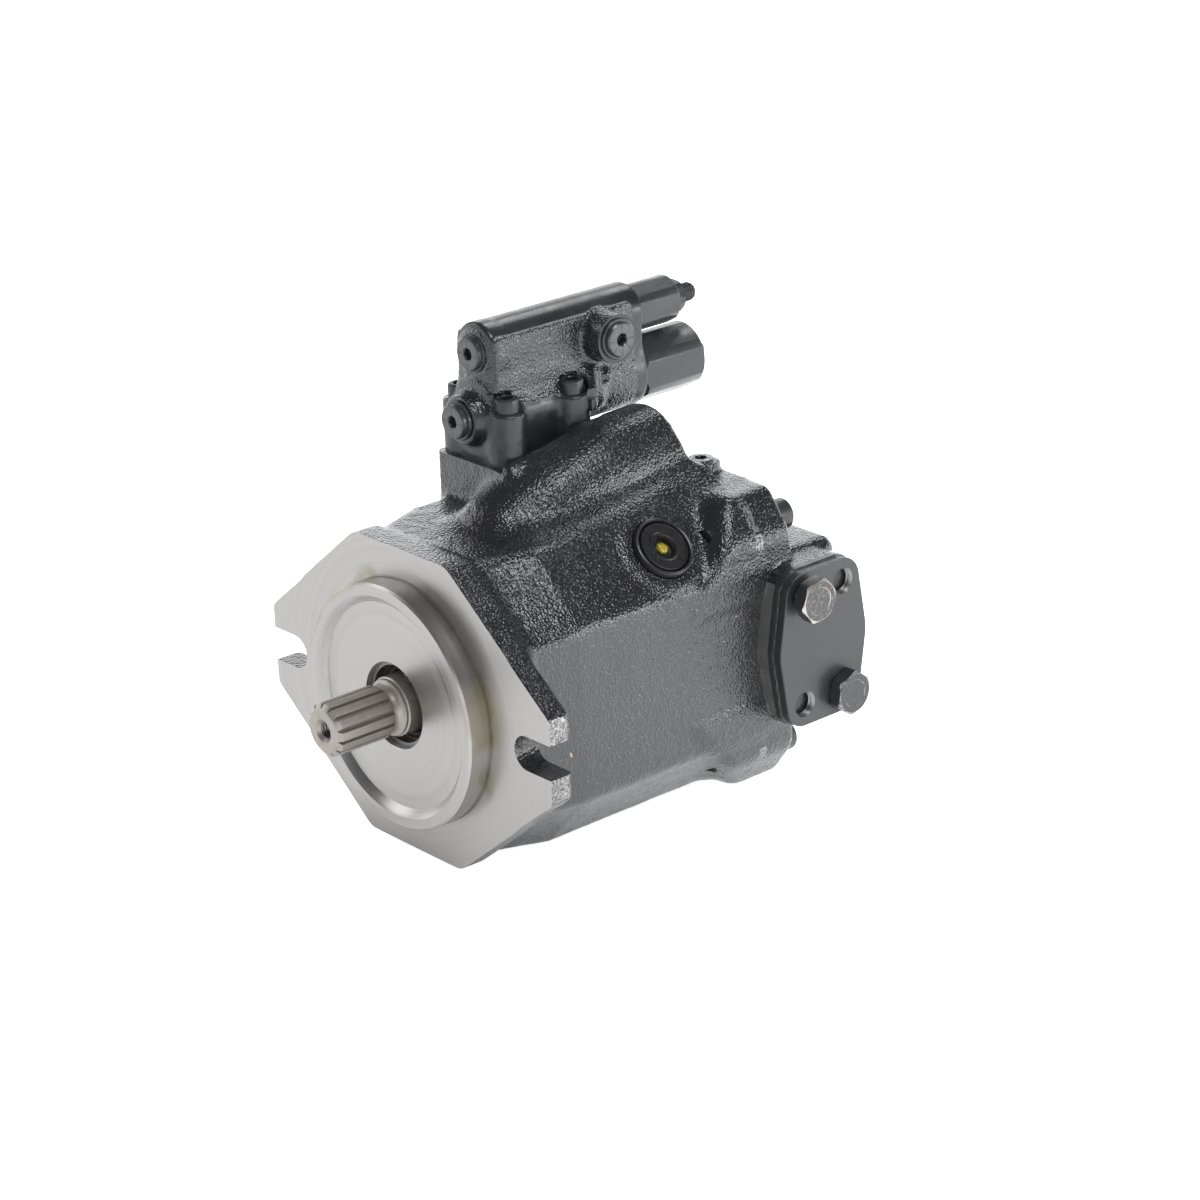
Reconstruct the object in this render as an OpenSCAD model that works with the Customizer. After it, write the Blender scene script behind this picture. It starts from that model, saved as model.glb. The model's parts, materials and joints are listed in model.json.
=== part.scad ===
// Axial piston pump, swash-plate type, two-bolt mounting flange, splined shaft.
// Frame: origin where the shaft axis meets the flange face; shaft end toward -Y,
// body toward +Y, pressure port toward +X, control valve on top (+Z).

/* [Flange and housing] */
// Pilot diameter
pilot_d = 101.6; // [80:0.1:130]
// Pilot height
pilot_h = 9.6; // [6:0.1:13]
// Flange slot spacing
slot_span = 146; // [106:1:181]
// Flange slot width
slot_w = 14.3; // [11:0.1:18]
// Flange thickness
flange_t = 11.2; // [8:0.1:18]
// Half width of the housing at its side faces
house_x = 62.5; // [56:0.5:70]
// Half height of the housing
house_z = 62.5; // [56:0.5:70]
// Joint face between housing and port plate
split_y = 136; // [130:1:142]
// Main cavity radius
cavity_r = 50; // [49:0.5:51]

/* [Rotating group] */
// Distance of the swash tilt axis from the flange face
tilt_y = 72; // [72:0.5:72.5]
// Piston pitch radius
pitch_r = 29; // [28.5:0.1:29.5]
// Piston diameter
piston_d = 16; // [15:0.1:16.4]
// Number of pistons
piston_n = 9; // [7:2:9]
// Cylinder block radius
block_r = 42; // [40:0.5:42]

/* [Shaft] */
// Spline outside diameter
spline_d = 21.8; // [20:0.1:24]
// Number of spline teeth
spline_n = 13; // [11:1:15]
// Shaft projection from the flange face
shaft_out = 41.3; // [30:0.1:60]

/* [Ports] */
// Port centre distance from the flange face
port_y = 156; // [152:0.5:158]
// Pressure port bore
press_d = 19; // [13:1:20]
// Suction port bore
suct_d = 32; // [25:1:34]
// Pressure port bolt pattern, long side
press_l = 47.6; // [40:0.1:52.4]
// Pressure port bolt pattern, short side
press_s = 22.2; // [17:0.1:26.2]
// Suction port bolt pattern, long side
suct_l = 58.7; // [52:0.1:60]
// Suction port bolt pattern, short side
suct_s = 30.2; // [26:0.1:31]

/* [Control valve] */
// Sideways position of both valve bores
valve_x = -24; // [-26:0.5:-22]
// Height of the upper valve bore
up_z = 124; // [122:0.5:126]
// Height of the lower valve bore
lo_z = 98; // [97:0.5:99]

/* [Hidden] */
$fn = 44;
ty = tilt_y;
pr = piston_d / 2;
bolt_x = 50;
bolt_z = 49;
hump = [3, 130, 72.5];
hump_a = atan(0.295);
iron = [0.13, 0.13, 0.14];
steel = [0.72, 0.71, 0.69];

// cylinder along Y about the shaft axis
module cy(a, b, r) translate([0, a, 0]) rotate([-90, 0, 0]) cylinder(h = b - a, r = r);
// tube along Y
module ty_tube(a, b, ro, ri) difference() { cy(a, b, ro); cy(a - 1, b + 1, ri); }
// cylinder along X from a to b
module cx(a, b, r) translate([a, 0, 0]) rotate([0, 90, 0]) cylinder(h = b - a, r = r);
// revolved profile about the shaft axis, points are [radius, y]
module rev(p) rotate([-90, 0, 0]) rotate_extrude() polygon(p);
// plate in the XZ plane from y = a to b
module slab(a, b, p) translate([0, b, 0]) rotate([90, 0, 0]) linear_extrude(b - a) polygon(p);
// angled frame along the stroking piston axis, z = 0 on the swash arm pad
module stroke() translate([3, ty - 10, hump[2] - (130 - ty + 10) * 0.295])
  rotate([hump_a - 90, 0, 0]) children();
// four corners in the XZ plane
module corners(x, z) for (i = [-1, 1], j = [-1, 1]) translate([i * x, 0, j * z]) children();
// valve bore frames
module at_up() translate([valve_x, 0, up_z]) children();
module at_lo() translate([valve_x, 0, lo_z]) children();
// hexagon along Y, across flats f
module hexy(a, b, f) translate([0, a, 0]) rotate([-90, 0, 0])
  cylinder(h = b - a, r = f / 2 / cos(30), $fn = 6);
// hexagon along X, across flats f
module hexx(a, b, f) translate([a, 0, 0]) rotate([0, 90, 0])
  cylinder(h = b - a, r = f / 2 / cos(30), $fn = 6);
// spline section
module spline2d(n, ro, ri, w) union() {
  circle(r = ri);
  for (i = [0:n - 1]) rotate(i * 360 / n)
    polygon([[ri - 1, -w * 0.62], [ri, -w * 0.62], [ro, -w * 0.36], [ro, w * 0.36],
      [ri, w * 0.62], [ri - 1, w * 0.62]]);
}
// helical spring along Y from a to b, ground flat ends
module coil(a, b, rc, w, n) {
  pitch = (b - a) / n;
  half = 360 * w / pitch;
  out = [for (i = [-4:4]) let (t = i / 4, q = w * sqrt(max(0, 1 - t * t)))
    [(rc + q) * cos(t * half), (rc + q) * sin(t * half)]];
  inn = [for (i = [3:-1:-3]) let (t = i / 4, q = w * sqrt(max(0, 1 - t * t)))
    [(rc - q) * cos(t * half), (rc - q) * sin(t * half)]];
  translate([0, a, 0]) rotate([-90, 0, 0])
    linear_extrude(height = b - a, twist = -360 * n, slices = n * 11, convexity = 6, $fn = 3)
      polygon(concat(out, inn));
}
// outline of the housing behind the flange
function body_pts(x, z, c, d) = [[x, -d], [x, d], [c, z], [-c, z], [-x, d], [-x, -d], [-c, -z], [c, -z]];

// slanted upper side frame: origin on the port centre, +Z out of the face
module slant(s) translate([s * 48, 93, 49.9]) rotate([0, s * 45, 0]) children();

module housing() color(iron) union() {
  housing_shell();
  // curved supports under the cradle shells
  for (s = [-1, 1]) difference() {
    translate([s * 35.5 - 8.3, 26, -37.5]) cube([16.6, 16, 75]);
    translate([0, ty, 0]) cx(-60, 60, 46.5);
  }
}
module housing_shell() difference() {
  union() {
    slab(0, flange_t, [[28.3, 63.1], [86.9, 17.4], [86.9, -17.4], [28.3, -63.1],
      [-28.3, -63.1], [-86.9, -17.4], [-86.9, 17.4], [-28.3, 63.1]]);
    cy(-pilot_h, 0.5, pilot_d / 2);
    hull() {
      slab(flange_t - 1, flange_t, body_pts(61, 61.5, 28, 34));
      slab(38, split_y, body_pts(house_x, house_z, 37, 36));
    }
    corners(bolt_x, bolt_z) {
      cy(118, split_y, 11.5);
      translate([0, 104, 0]) rotate([-90, 0, 0]) cylinder(h = 14, r1 = 4, r2 = 11.5);
    }
    // raised casing of the stroking piston
    hull($fn = 32) {
      translate([1, 54, 55.4]) sphere(20);
      translate([3, 96, 69]) sphere(21);
      translate([3, 110, hump[2]]) rotate([-90, 0, 0]) cylinder(h = 20, r = 20);
    }
    // seat of the control valve
    translate([0, 0, 40]) linear_extrude(40) polygon([[-44.4, 58], [-42, 55.5], [0, 55.5],
      [2, 58], [2, 112], [-42, 112], [-44.4, 110]]);
    // lower wall over the return spring
    slab(52, 132, [[-15, -60], [-11, -66.5], [11, -66.5], [15, -60]]);
    for (s = [-1, 1]) slant(s) translate([0, 0, -8]) cylinder(h = 8.8, r = 15);
  }
  translate([-60, 53.5, 80]) cube([58.3, 60, 20]);
  // pilot face recess, seal bore, bearing bore, cavity
  rev([[0, -20], [45, -20], [45, -9.6], [43, -6.6], [17.85, -6.6], [17.85, 7.2], [14, 7.2],
    [14, 11.5], [26, 11.5], [26, 28], [cavity_r, 28], [cavity_r, 140], [0, 140]]);
  rev([[17, -4.2], [18.9, -4.2], [18.9, -2.6], [17, -2.6]]);
  // open ended mounting slots
  for (s = [-1, 1]) {
    translate([s * slot_span / 2, 0, 0]) cy(-1, flange_t + 1, slot_w / 2);
    translate([s * (slot_span / 2 + 15) - 15, -1, -slot_w / 2]) cube([30, flange_t + 2, slot_w]);
  }
  // cradle seats
  for (s = [-1, 1]) translate([0, ty, 0]) intersection() {
    cx(s * 35.5 - 8.5, s * 35.5 + 8.5, 46.5);
    translate([-60, -60, -40]) cube([120, 50, 80]);
  }
  // passage and bore of the stroking piston
  stroke() { translate([0, 0, -16]) cylinder(h = 38, r = 14.5); cylinder(h = 66, r = 13.1); }
  // room for the lower arm and the return spring
  translate([-9, 28, -59]) cube([18, 36, 30]);
  translate([0, 0, -50.5]) cy(60, 128, 8.3);
  // bolt holes for the port plate, dowel holes
  corners(bolt_x, bolt_z) cy(114, 140, 4);
  for (s = [-1, 1]) translate([s * 56, 0, 0]) cy(128, 140, 3);
  // case drain ports
  for (s = [-1, 1]) slant(s) {
    translate([0, 0, -30]) cylinder(h = 40, r = 9);
    cylinder(h = 9, r = 13);
  }
  // valve screw holes and oil ways
  for (x = [-1, 1], y = [65, 99]) translate([valve_x + x * 14.5, y, 73.4]) cylinder(h = 10, r = 3);
  for (y = [74, 82, 90]) translate([valve_x, y, 66]) cylinder(h = 16, r = 2.5);
  translate([valve_x, 90, 70]) rotate([0, 90, 0]) cylinder(h = 20, r = 1.5);
}

module port_plate() color(iron) difference() {
  union() {
    slab(split_y, 151, body_pts(house_x, house_z, 37, 36));
    corners(bolt_x, bolt_z) cy(split_y, 151, 11.5);
    cy(131, split_y, cavity_r - 0.05);
    translate([-58, split_y, -36]) cube([116, 44.5, 72]);
    // end pads with the outlines of the covers
    intersection() {
      union() {
        xplate(48, 69, press_l, press_s, 10.2, 25);
        xplate(-69, -48, suct_l, suct_s, 10.2, 29.6);
      }
      translate([-80, split_y, -60]) cube([160, 60, 120]);
    }
    translate([18, 143.5, 58]) cylinder(h = 9.6, r = 7.4);
  }
  // rear shaft bearing bore and rear access bore
  cy(125, 150, 18.5);
  cy(149, 165, 12);
  // kidney openings
  for (s = [-1, 1]) translate([0, 125, 0]) rotate([-90, 0, 0]) rotate([0, 0, s > 0 ? -52 : 128])
    rotate_extrude(angle = 104) translate([25.2, 0]) square([7.6, 16]);
  // passages to the side ports
  translate([29, 0, 0]) cy(136, port_y, 8.2);
  translate([0, port_y, 0]) cx(29, 75, press_d / 2);
  translate([-31, 0, 0]) cy(136, port_y, 10);
  translate([0, port_y, 0]) cx(-75, -31, suct_d / 2);
  // pressure side threaded holes, two filled by the cover bolts
  for (i = [-1, 1], j = [-1, 1]) translate([0, port_y + i * press_s / 2, j * press_l / 2])
    cx(49, 75, i * j > 0 ? 4.25 : 4.55);
  // suction side threaded holes
  for (i = [-1, 1], j = [-1, 1]) translate([0, port_y + i * suct_s / 2, j * suct_l / 2])
    cx(-75, -49, i * j > 0 ? 4.25 : 4.55);
  corners(bolt_x, bolt_z) cy(130, 155, 4.5);
  for (s = [-1, 1]) translate([s * 56, 0, 0]) cy(130, 145, 3);
  translate([18, 143.5, 50]) cylinder(h = 20, r = 3.5);
  translate([18, 143.5, 65]) cylinder(h = 5, r = 5.8);
  // seal ring groove and valve plate pin hole
  rev([[47.5, 132.4], [52, 132.4], [52, 135.2], [47.5, 135.2]]);
  translate([0, 0, 36.5]) cy(125, 134, 1.5);
}

module housing_seal_ring() color([0.05, 0.05, 0.05])
  rev([[47.6, 132.6], [49.95, 132.6], [49.95, 135], [47.6, 135]]);

module housing_bolts() color([0.12, 0.12, 0.13]) corners(bolt_x, bolt_z) difference() {
  union() { cy(116, 151, 3.96); cy(151, 159, 6.5); }
  hexy(155, 160, 6);
}

module locating_dowels() color(steel) for (s = [-1, 1]) translate([s * 56, 0, 0]) cy(128.5, 144.5, 2.98);

module shaft_seal() color([0.1, 0.1, 0.11])
  rev([[12.25, 3.2], [13.4, 0.4], [17.8, 0.2], [17.8, 7], [14.4, 7], [14.4, 5.6], [16, 5.4],
    [16, 2.6], [14, 2.8], [12.6, 4.4]]);

module seal_ring_clip() color(steel) rotate([0, 42, 0]) difference() {
  union() {
    ty_tube(-4.1, -2.7, 18.8, 16);
    for (s = [-1, 1]) translate([s * 4, 0, 14.6]) cy(-4.1, -2.7, 2.2);
  }
  translate([-1.6, -6, 8]) cube([3.2, 6, 14]);
  for (s = [-1, 1]) translate([s * 4, 0, 14.6]) cy(-6, 0, 0.9);
}

module drive_shaft() color(steel) difference() {
  union() {
    translate([0, -12, 0]) rotate([90, 0, 0]) linear_extrude(shaft_out - 12 - 1.2)
      spline2d(spline_n, spline_d / 2, 9.2, 3);
    rev([[0, -shaft_out], [8.6, -shaft_out], [9.2, -shaft_out + 1.2], [9.2, -11], [11, -9.6],
      [11.6, -8], [12.2, -7.2], [12.2, 11.8], [12.5, 12], [12.5, 28], [14.6, 28.2], [14.6, 31],
      [11.4, 31.5], [11.4, 50], [12, 50.6], [12, 82], [11.6, 82], [11.6, 116], [10.4, 118],
      [10, 130.8], [10, 147], [9.4, 148], [0, 148]]);
    translate([0, 96, 0]) rotate([90, 0, 0]) linear_extrude(12) spline2d(16, 13, 11.6, 2.6);
  }
  cy(-shaft_out - 1, -20, 3.4);
  translate([0, -shaft_out - 0.01, 0]) rotate([-90, 0, 0]) cylinder(h = 1, r1 = 4.4, r2 = 3.4);
}

// tapered bearing, cone angle 12 degrees
module front_bearing_outer() color(steel)
  rev([[26, 12.5], [26, 27.5], [21.6, 27.5], [24.58, 13.5], [25, 12.5]]);
module front_bearing_inner() color(steel)
  rev([[12.55, 12], [18.6, 12], [18.6, 13.6], [17.5, 13.7], [14.6, 27.3], [14.6, 28], [12.55, 28]]);
module front_rollers() color(steel) union() {
  for (i = [0:13]) rotate([0, i * 360 / 14, 0]) translate([20.98, 14.45, 0])
    rotate([-90, 0, 12]) cylinder(h = 11.3, r = 3.3, $fn = 24);
  difference() {
    rev([[20.5, 13.9], [21.7, 13.9], [18.9, 26.6], [17.8, 26.6]]);
    rev([[16, 16.4], [24, 16.4], [24, 24], [16, 24]]);
  }
}

module rear_bearing_outer() color(steel) ty_tube(132, 149.5, 18.45, 16.6);
module rear_bearing_inner() color(steel) ty_tube(132.5, 147, 12.6, 10.02);
module rear_rollers() color(steel) union() {
  for (i = [0:13]) rotate([0, i * 360 / 14, 0]) translate([14.6, 0, 0]) cy(134, 147.5, 1.96, $fn = 20);
  ty_tube(133, 134.4, 15.6, 13.6);
  ty_tube(147.1, 148.5, 15.6, 13.6);
}

// cradle: the running face is 26 mm from the tilt axis
module swash_plate() color([0.45, 0.45, 0.46]) difference() {
  union() {
    difference() {
      cy(ty - 33, ty - 26, 41);
      for (s = [-1, 1]) translate([0, ty, 0]) difference() {
        translate([s > 0 ? 25 : -45, -40, -45]) cube([20, 30, 90]);
        cx(-50, 50, 39.9);
      }
    }
    for (s = [-1, 1]) translate([0, ty, 0]) intersection() {
      cx(s * 34.5 - 7, s * 34.5 + 7, 40);
      translate([-60, -60, -31]) cube([120, 34, 62]);
      cx(-60, 60, 50);
    }
    // upper arm for the stroking piston, lower arm for the return spring
    translate([-3, ty - 33, 38]) cube([12, 7, 6.2]);
    translate([-3, ty - 30, 38]) cube([12, 4, 8.2]);
    translate([-3, ty - 28, 44]) cube([12, 18, 2.2]);
    translate([-3, ty - 26.5, 44]) cube([12, 16.5, 4.4]);
    translate([-3, ty - 25, 44]) cube([12, 15, 15]);
    translate([-6, ty - 29, -46]) cube([12, 3, 8]);
    translate([-6, ty - 26.5, -57]) cube([12, 16.5, 13]);
  }
  translate([0, 0, -6.3]) cy(30, 60, 14);
  cy(30, 60, 14);
  translate([-14, 30, -6.3]) cube([28, 30, 6.3]);
  translate([0, 0, -9.6]) cy(30, ty - 30, 14);
  translate([-14, 30, -9.6]) cube([28, ty - 60, 9]);
}

module cradle_shells() color([0.6, 0.5, 0.3]) for (s = [-1, 1]) translate([0, ty, 0]) intersection() {
  difference() { cx(s * 35 - 7.5, s * 35 + 7.5, 46.45); cx(-60, 60, 44); }
  translate([-60, -60, -32.5]) cube([120, 34, 65]);
}
module cradle_rollers() color(steel) for (s = [-1, 1]) translate([0, ty, 0]) {
  for (i = [-6:6]) rotate([i * 5.4, 0, 0]) translate([0, -42, 0])
    cx(s * 35 - 6, s * 35 + 6, 1.95, $fn = 16);
  for (e = [-6.6, 5.4]) intersection() {
    difference() { cx(s * 35 + e, s * 35 + e + 1.2, 43.2); cx(-60, 60, 40.8); }
    translate([-60, -60, -24]) cube([120, 34, 48]);
  }
}

module ring_n(r) for (i = [0:piston_n - 1]) rotate([0, i * 360 / piston_n, 0])
  translate([r, 0, 0]) children();

// shoes with ball studs
module slippers() color([0.7, 0.6, 0.3]) ring_n(pitch_r) translate([0, ty, 0]) union() {
  rev([[0, -26], [9.3, -26], [9.3, -22], [5.6, -22], [5.6, -19], [3, -17.8], [2.5, -16.4],
    [2.5, -3], [0, -3]]);
  sphere(5, $fn = 28);
}
module retaining_plate() color(steel) difference() {
  cy(ty - 21.95, ty - 19.5, 40);
  ring_n(pitch_r) cy(ty - 30, ty, 6);
  cy(ty - 30, ty, 18);
  translate([0, ty, 0]) sphere(27.05, $fn = 64);
}
module retaining_ball() color(steel) difference() {
  union() {
    intersection() { translate([0, ty, 0]) sphere(27, $fn = 64); cy(ty - 23.5, ty - 13, 30); }
    cy(ty - 13, ty + 9.8, 17);
  }
  cy(0, 120, 12.1);
}
module pistons() color(steel) ring_n(pitch_r) difference() {
  cy(ty - 8.2, 113, pr);
  cy(ty - 20, ty + 16, 6.25);
  translate([0, ty - 8.3, 0]) rotate([-90, 0, 0]) cylinder(h = 3, r1 = 7.7, r2 = 6.2);
  cy(ty, 120, 1.2);
}
module cylinder_block() color([0.5, 0.5, 0.51]) difference() {
  rev([[0, ty + 10], [39.5, ty + 10], [block_r, ty + 12.5], [block_r, 122], [39, 122],
    [39, 127], [0, 127]]);
  ring_n(pitch_r) { cy(ty, 119, pr + 0.05); }
  // kidney shaped outlets of the bores
  for (i = [0:piston_n - 1]) rotate([0, i * 360 / piston_n, 0]) translate([0, 118, 0])
    rotate([-90, 0, 0]) rotate([0, 0, -11]) rotate_extrude(angle = 22) translate([26, 0]) square([6, 12]);
  // spline bore, spring chamber, rear relief
  translate([0, 128, 0]) rotate([90, 0, 0]) linear_extrude(60) spline2d(16, 13.1, 11.68, 2.75);
  cy(95, 128, 16);
  rev([[15, 119.6], [17.4, 119.6], [17.4, 121.2], [15, 121.2]]);
  for (i = [0:2]) rotate([0, i * 120, 0]) translate([14.9, 0, 0]) cy(ty, 100, 1.6);
}
module block_spring() color([0.3, 0.3, 0.32]) coil(97, 117.4, 14.3, 1.1, 4.5);
module block_spring_seats() color(steel) {
  ty_tube(95.05, 97, 15.9, 13.2);
  ty_tube(117.4, 119.4, 15.9, 13.2);
  difference() {
    ty_tube(119.7, 121.1, 17.3, 14.4);
    translate([12, 118, -2]) cube([8, 5, 4]);
  }
}
module push_pins() color(steel) for (i = [0:2]) rotate([0, i * 120, 0])
  translate([14.9, 0, 0]) cy(ty + 9.85, 95, 1.55);

module valve_plate() color([0.7, 0.55, 0.3]) difference() {
  cy(127.05, 130.95, 40);
  cy(120, 135, 16);
  for (s = [-1, 1]) translate([0, 125, 0]) rotate([-90, 0, 0]) rotate([0, 0, s > 0 ? -52 : 128])
    rotate_extrude(angle = 104) translate([25.8, 0]) square([6.4, 10]);
  translate([0, 0, 36.5]) cy(120, 140, 1.55);
}
module valve_plate_pin() color(steel) translate([0, 0, 36.5]) cy(127.6, 133.8, 1.47);

module stroking_sleeve() color([0.55, 0.55, 0.56]) stroke() difference() {
  translate([0, 0, 22.1]) cylinder(h = 43.8, r = 13.06);
  translate([0, 0, 20]) cylinder(h = 50, r = 11);
}
module stroking_piston() color(steel) stroke() difference() {
  union() {
    translate([0, 0, 6.31]) sphere(6);
    translate([0, 0, 8]) cylinder(h = 10, r = 5);
    translate([0, 0, 16]) cylinder(h = 32, r = 10.95);
  }
  translate([0, 0, 24]) cylinder(h = 30, r = 7.5);
}
module return_guide() color(steel) translate([0, 0, -50.5]) union() {
  translate([0, ty - 4.6, 0]) sphere(5);
  cy(ty - 4, ty - 1, 7.2);
  cy(ty - 2, 95, 3.6);
}
module return_spring() color([0.3, 0.3, 0.32]) translate([0, 0, -50.5]) coil(ty - 1, 125, 5.95, 1.2, 8);
module return_seat() color(steel) translate([0, 0, -50.5]) union() {
  cy(125, 128, 7.2);
  cy(100, 126, 3.6);
}

// case drain plug, raised rings and a coloured centre
module drain_plug() color([0.06, 0.06, 0.07]) slant(1) difference() {
  union() {
    translate([0, 0, -6]) cylinder(h = 7, r = 8.9);
    translate([0, 0, 0.2]) cylinder(h = 3.2, r = 12.9);
    difference() {
      cylinder(h = 5.2, r = 12.8);
      translate([0, 0, -1]) cylinder(h = 8, r = 11.6);
    }
    difference() {
      cylinder(h = 4.6, r = 6.2);
      translate([0, 0, -1]) cylinder(h = 8, r = 5.2);
    }
    for (a = [0:3]) rotate(a * 90 + 30) translate([5.6, -0.5, 1]) cube([6.4, 1, 3]);
  }
  translate([0, 0, 2]) cylinder(h = 8, r = 4.4);
}
module drain_plug_insert() color([0.75, 0.6, 0.1]) slant(1) translate([0, 0, 2]) cylinder(h = 1.6, r = 4.35);
module fill_plug() color([0.1, 0.1, 0.1]) slant(-1) difference() {
  union() {
    translate([0, 0, -10]) cylinder(h = 11, r = 8.9);
    translate([0, 0, 0.05]) cylinder(h = 4.4, r = 12.9);
  }
  translate([0, 0, -4]) cylinder(h = 10, r = 5 / cos(30), $fn = 6);
}
module gauge_plug() color([0.12, 0.12, 0.13]) translate([18, 143.5, 0]) difference() {
  union() {
    translate([0, 0, 54]) cylinder(h = 12, r = 3.45);
    translate([0, 0, 65.05]) cylinder(h = 4.2, r = 5.7);
  }
  translate([0, 0, 64]) cylinder(h = 8, r = 2.5 / cos(30), $fn = 6);
}

// cover plate outline, long side along Z
module cover2d(l, s, rc, rm) hull($fn = 32) {
  for (i = [-1, 1], j = [-1, 1]) translate([i * l / 2, j * s / 2]) circle(rc);
  circle(rm);
}
module xplate(a, b, l, s, rc, rm) translate([a, port_y, 0]) rotate([0, 90, 0])
  linear_extrude(b - a) cover2d(l, s, rc, rm);
module cover_holes(l, s, r) for (i = [-1, 1], j = [-1, 1])
  translate([0, port_y + i * s / 2, j * l / 2]) cx(-90, 90, r);
module press_gasket() color([0.2, 0.2, 0.19]) difference() {
  xplate(69, 70, press_l, press_s, 9.6, 24.4);
  cover_holes(press_l, press_s, 5.5);
  translate([0, port_y, 0]) cx(60, 80, press_d / 2 + 1);
}
module press_cover() color(iron) difference() {
  xplate(70, 75.5, press_l, press_s, 9.6, 24.4);
  cover_holes(press_l, press_s, 5.4);
}
module bolt_x1(s, len) union() {
  translate([s > 0 ? 51 : -51 - len, 0, 0]) cx(0, len, 4.5);
  translate([s > 0 ? 51 + len : -51 - len - 6.6, 0, 0]) intersection() {
    hexx(0, 6.6, 17);
    translate([-12, 0, 0]) rotate([0, 90, 0]) cylinder(h = 40, r = 9.5);
  }
}
// one bolt is seated, the other stands a little proud
module press_cover_bolts() color([0.15, 0.15, 0.16]) {
  translate([0, port_y - press_s / 2, press_l / 2]) rotate([12, 0, 0]) bolt_x1(1, 24.5);
  translate([0, port_y + press_s / 2, -press_l / 2]) rotate([24, 0, 0]) bolt_x1(1, 27.5);
}
module suct_gasket() color([0.2, 0.2, 0.19]) difference() {
  xplate(-70, -69, suct_l, suct_s, 9.6, 29);
  cover_holes(suct_l, suct_s, 5.5);
  translate([0, port_y, 0]) cx(-80, -60, suct_d / 2 + 1);
}
module suct_cover() color(iron) difference() {
  xplate(-75.5, -70, suct_l, suct_s, 9.6, 29);
  cover_holes(suct_l, suct_s, 5.4);
}
module suct_cover_bolts() color([0.15, 0.15, 0.16]) {
  translate([0, port_y - suct_s / 2, suct_l / 2]) rotate([9, 0, 0]) bolt_x1(-1, 24.5);
  translate([0, port_y + suct_s / 2, -suct_l / 2]) rotate([31, 0, 0]) bolt_x1(-1, 24.5);
}

// two stage control valve
module valve_body() color(iron) difference() {
  union() {
    translate([valve_x - 14.9, 58.5, 80]) cube([29.8, 48, 21.2]);
    for (x = [-1, 1], y = [65, 99]) translate([valve_x + x * 14.5, y, 80]) cylinder(h = 21.8, r = 7.4);
    translate([valve_x - 11.5, 62, 95]) cube([23, 79, up_z - 94]);
    at_up() cy(62, 141, 11.8);
    at_lo() { cy(53, 70, 10.5); cy(61, 140.6, 14.3); }
    translate([0, 118, 121.5]) cx(valve_x, -2, 10.8);
  }
  at_up() { cy(50, 120, 4.5); cy(118, 150, 8.5); cy(61, 64, 7.2); }
  at_lo() { cy(50, 120, 5); cy(118, 150, 10); cy(50, 55, 7.2); }
  // screw holes
  for (x = [-1, 1], y = [65, 99]) translate([valve_x + x * 14.5, y, 70]) cylinder(h = 40, r = 3.3);
  for (x = [-1, 1], y = [65, 99]) translate([valve_x + x * 14.5, y, 101.5]) cylinder(h = 20, r = 5.4);
  // oil ways and seal ring grooves
  for (y = [74, 82, 90]) translate([valve_x, y, 79]) {
    cylinder(h = 17, r = 2.2);
    cylinder(h = 2.6, r = 3.75);
  }
  translate([valve_x, 90, 96]) cylinder(h = 28, r = 1.6);
  translate([0, 118, 121.5]) cx(-22, 2, 5.5);
}
module valve_screws() color([0.12, 0.12, 0.13])
  for (x = [-1, 1], y = [65, 99]) translate([valve_x + x * 14.5, y, 0]) difference() {
    union() {
      translate([0, 0, 73.8]) cylinder(h = 29, r = 2.95);
      translate([0, 0, 101.5]) cylinder(h = 6.2, r = 5);
    }
    translate([0, 0, 104.2]) cylinder(h = 6, r = 2.5 / cos(30), $fn = 6);
  }
module valve_orings() color([0.05, 0.05, 0.05]) for (y = [74, 82, 90]) translate([valve_x, y, 80.05])
  rotate_extrude() translate([2.4, 0]) square([1.3, 1.45]);
// plugs of the two valve bores, hexagon sockets toward -Y
module front_plugs() color([0.14, 0.14, 0.15]) {
  at_up() translate([0, 62, 0]) difference() {
    union() { cy(-4, 1.9, 7.1); cy(1, 8, 4.45); }
    hexy(-5, -0.6, 5);
  }
  at_lo() translate([0, 53, 0]) difference() {
    union() { cy(-4.4, 1.9, 7.1); cy(1, 9, 4.95); }
    hexy(-6, -1, 5);
  }
}
module side_plug() color([0.14, 0.14, 0.15]) translate([-2, 118, 121.5]) difference() {
  union() { cx(0.05, 3, 7.3); cx(-7, 1, 5.45); }
  hexx(-0.5, 4, 5);
}
module upper_spool() color(steel) at_up() union() {
  cy(74, 82, 4.46); cy(82, 92, 2.8); cy(92, 104, 4.46); cy(104, 112, 2.8); cy(112, 117, 4.46);
  cy(117, 119.5, 3.2);
}
module upper_spring() color([0.4, 0.4, 0.42]) at_up() coil(119.5, 146, 4.6, 0.95, 6);
module upper_seat() color(steel) at_up() union() { cy(146, 149, 6.6); cy(141, 147, 2.8); }
module upper_cap() color(iron) at_up() difference() {
  union() {
    cy(131, 141.5, 8.45);
    intersection() { hexy(141, 165.5, 18.9); cy(141, 165.5, 10.3); }
  }
  cy(120, 160, 6.75);
  cy(150, 170, 4.05);
}
module upper_screw() color([0.2, 0.2, 0.21]) at_up() difference() {
  union() { cy(149.05, 177.7, 4); cy(149.05, 178.7, 3.2); }
  hexy(173, 180, 4);
}
module upper_nut() color([0.15, 0.15, 0.16]) at_up() difference() {
  intersection() { hexy(165.55, 170.4, 13); cy(165, 171, 7.1); }
  cy(160, 175, 4.04);
}
module lower_spool() color(steel) at_lo() union() {
  cy(66, 76, 4.96); cy(76, 86, 3); cy(86, 98, 4.96); cy(98, 108, 3); cy(108, 116, 4.96);
  cy(116, 120, 3.4);
}
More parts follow.
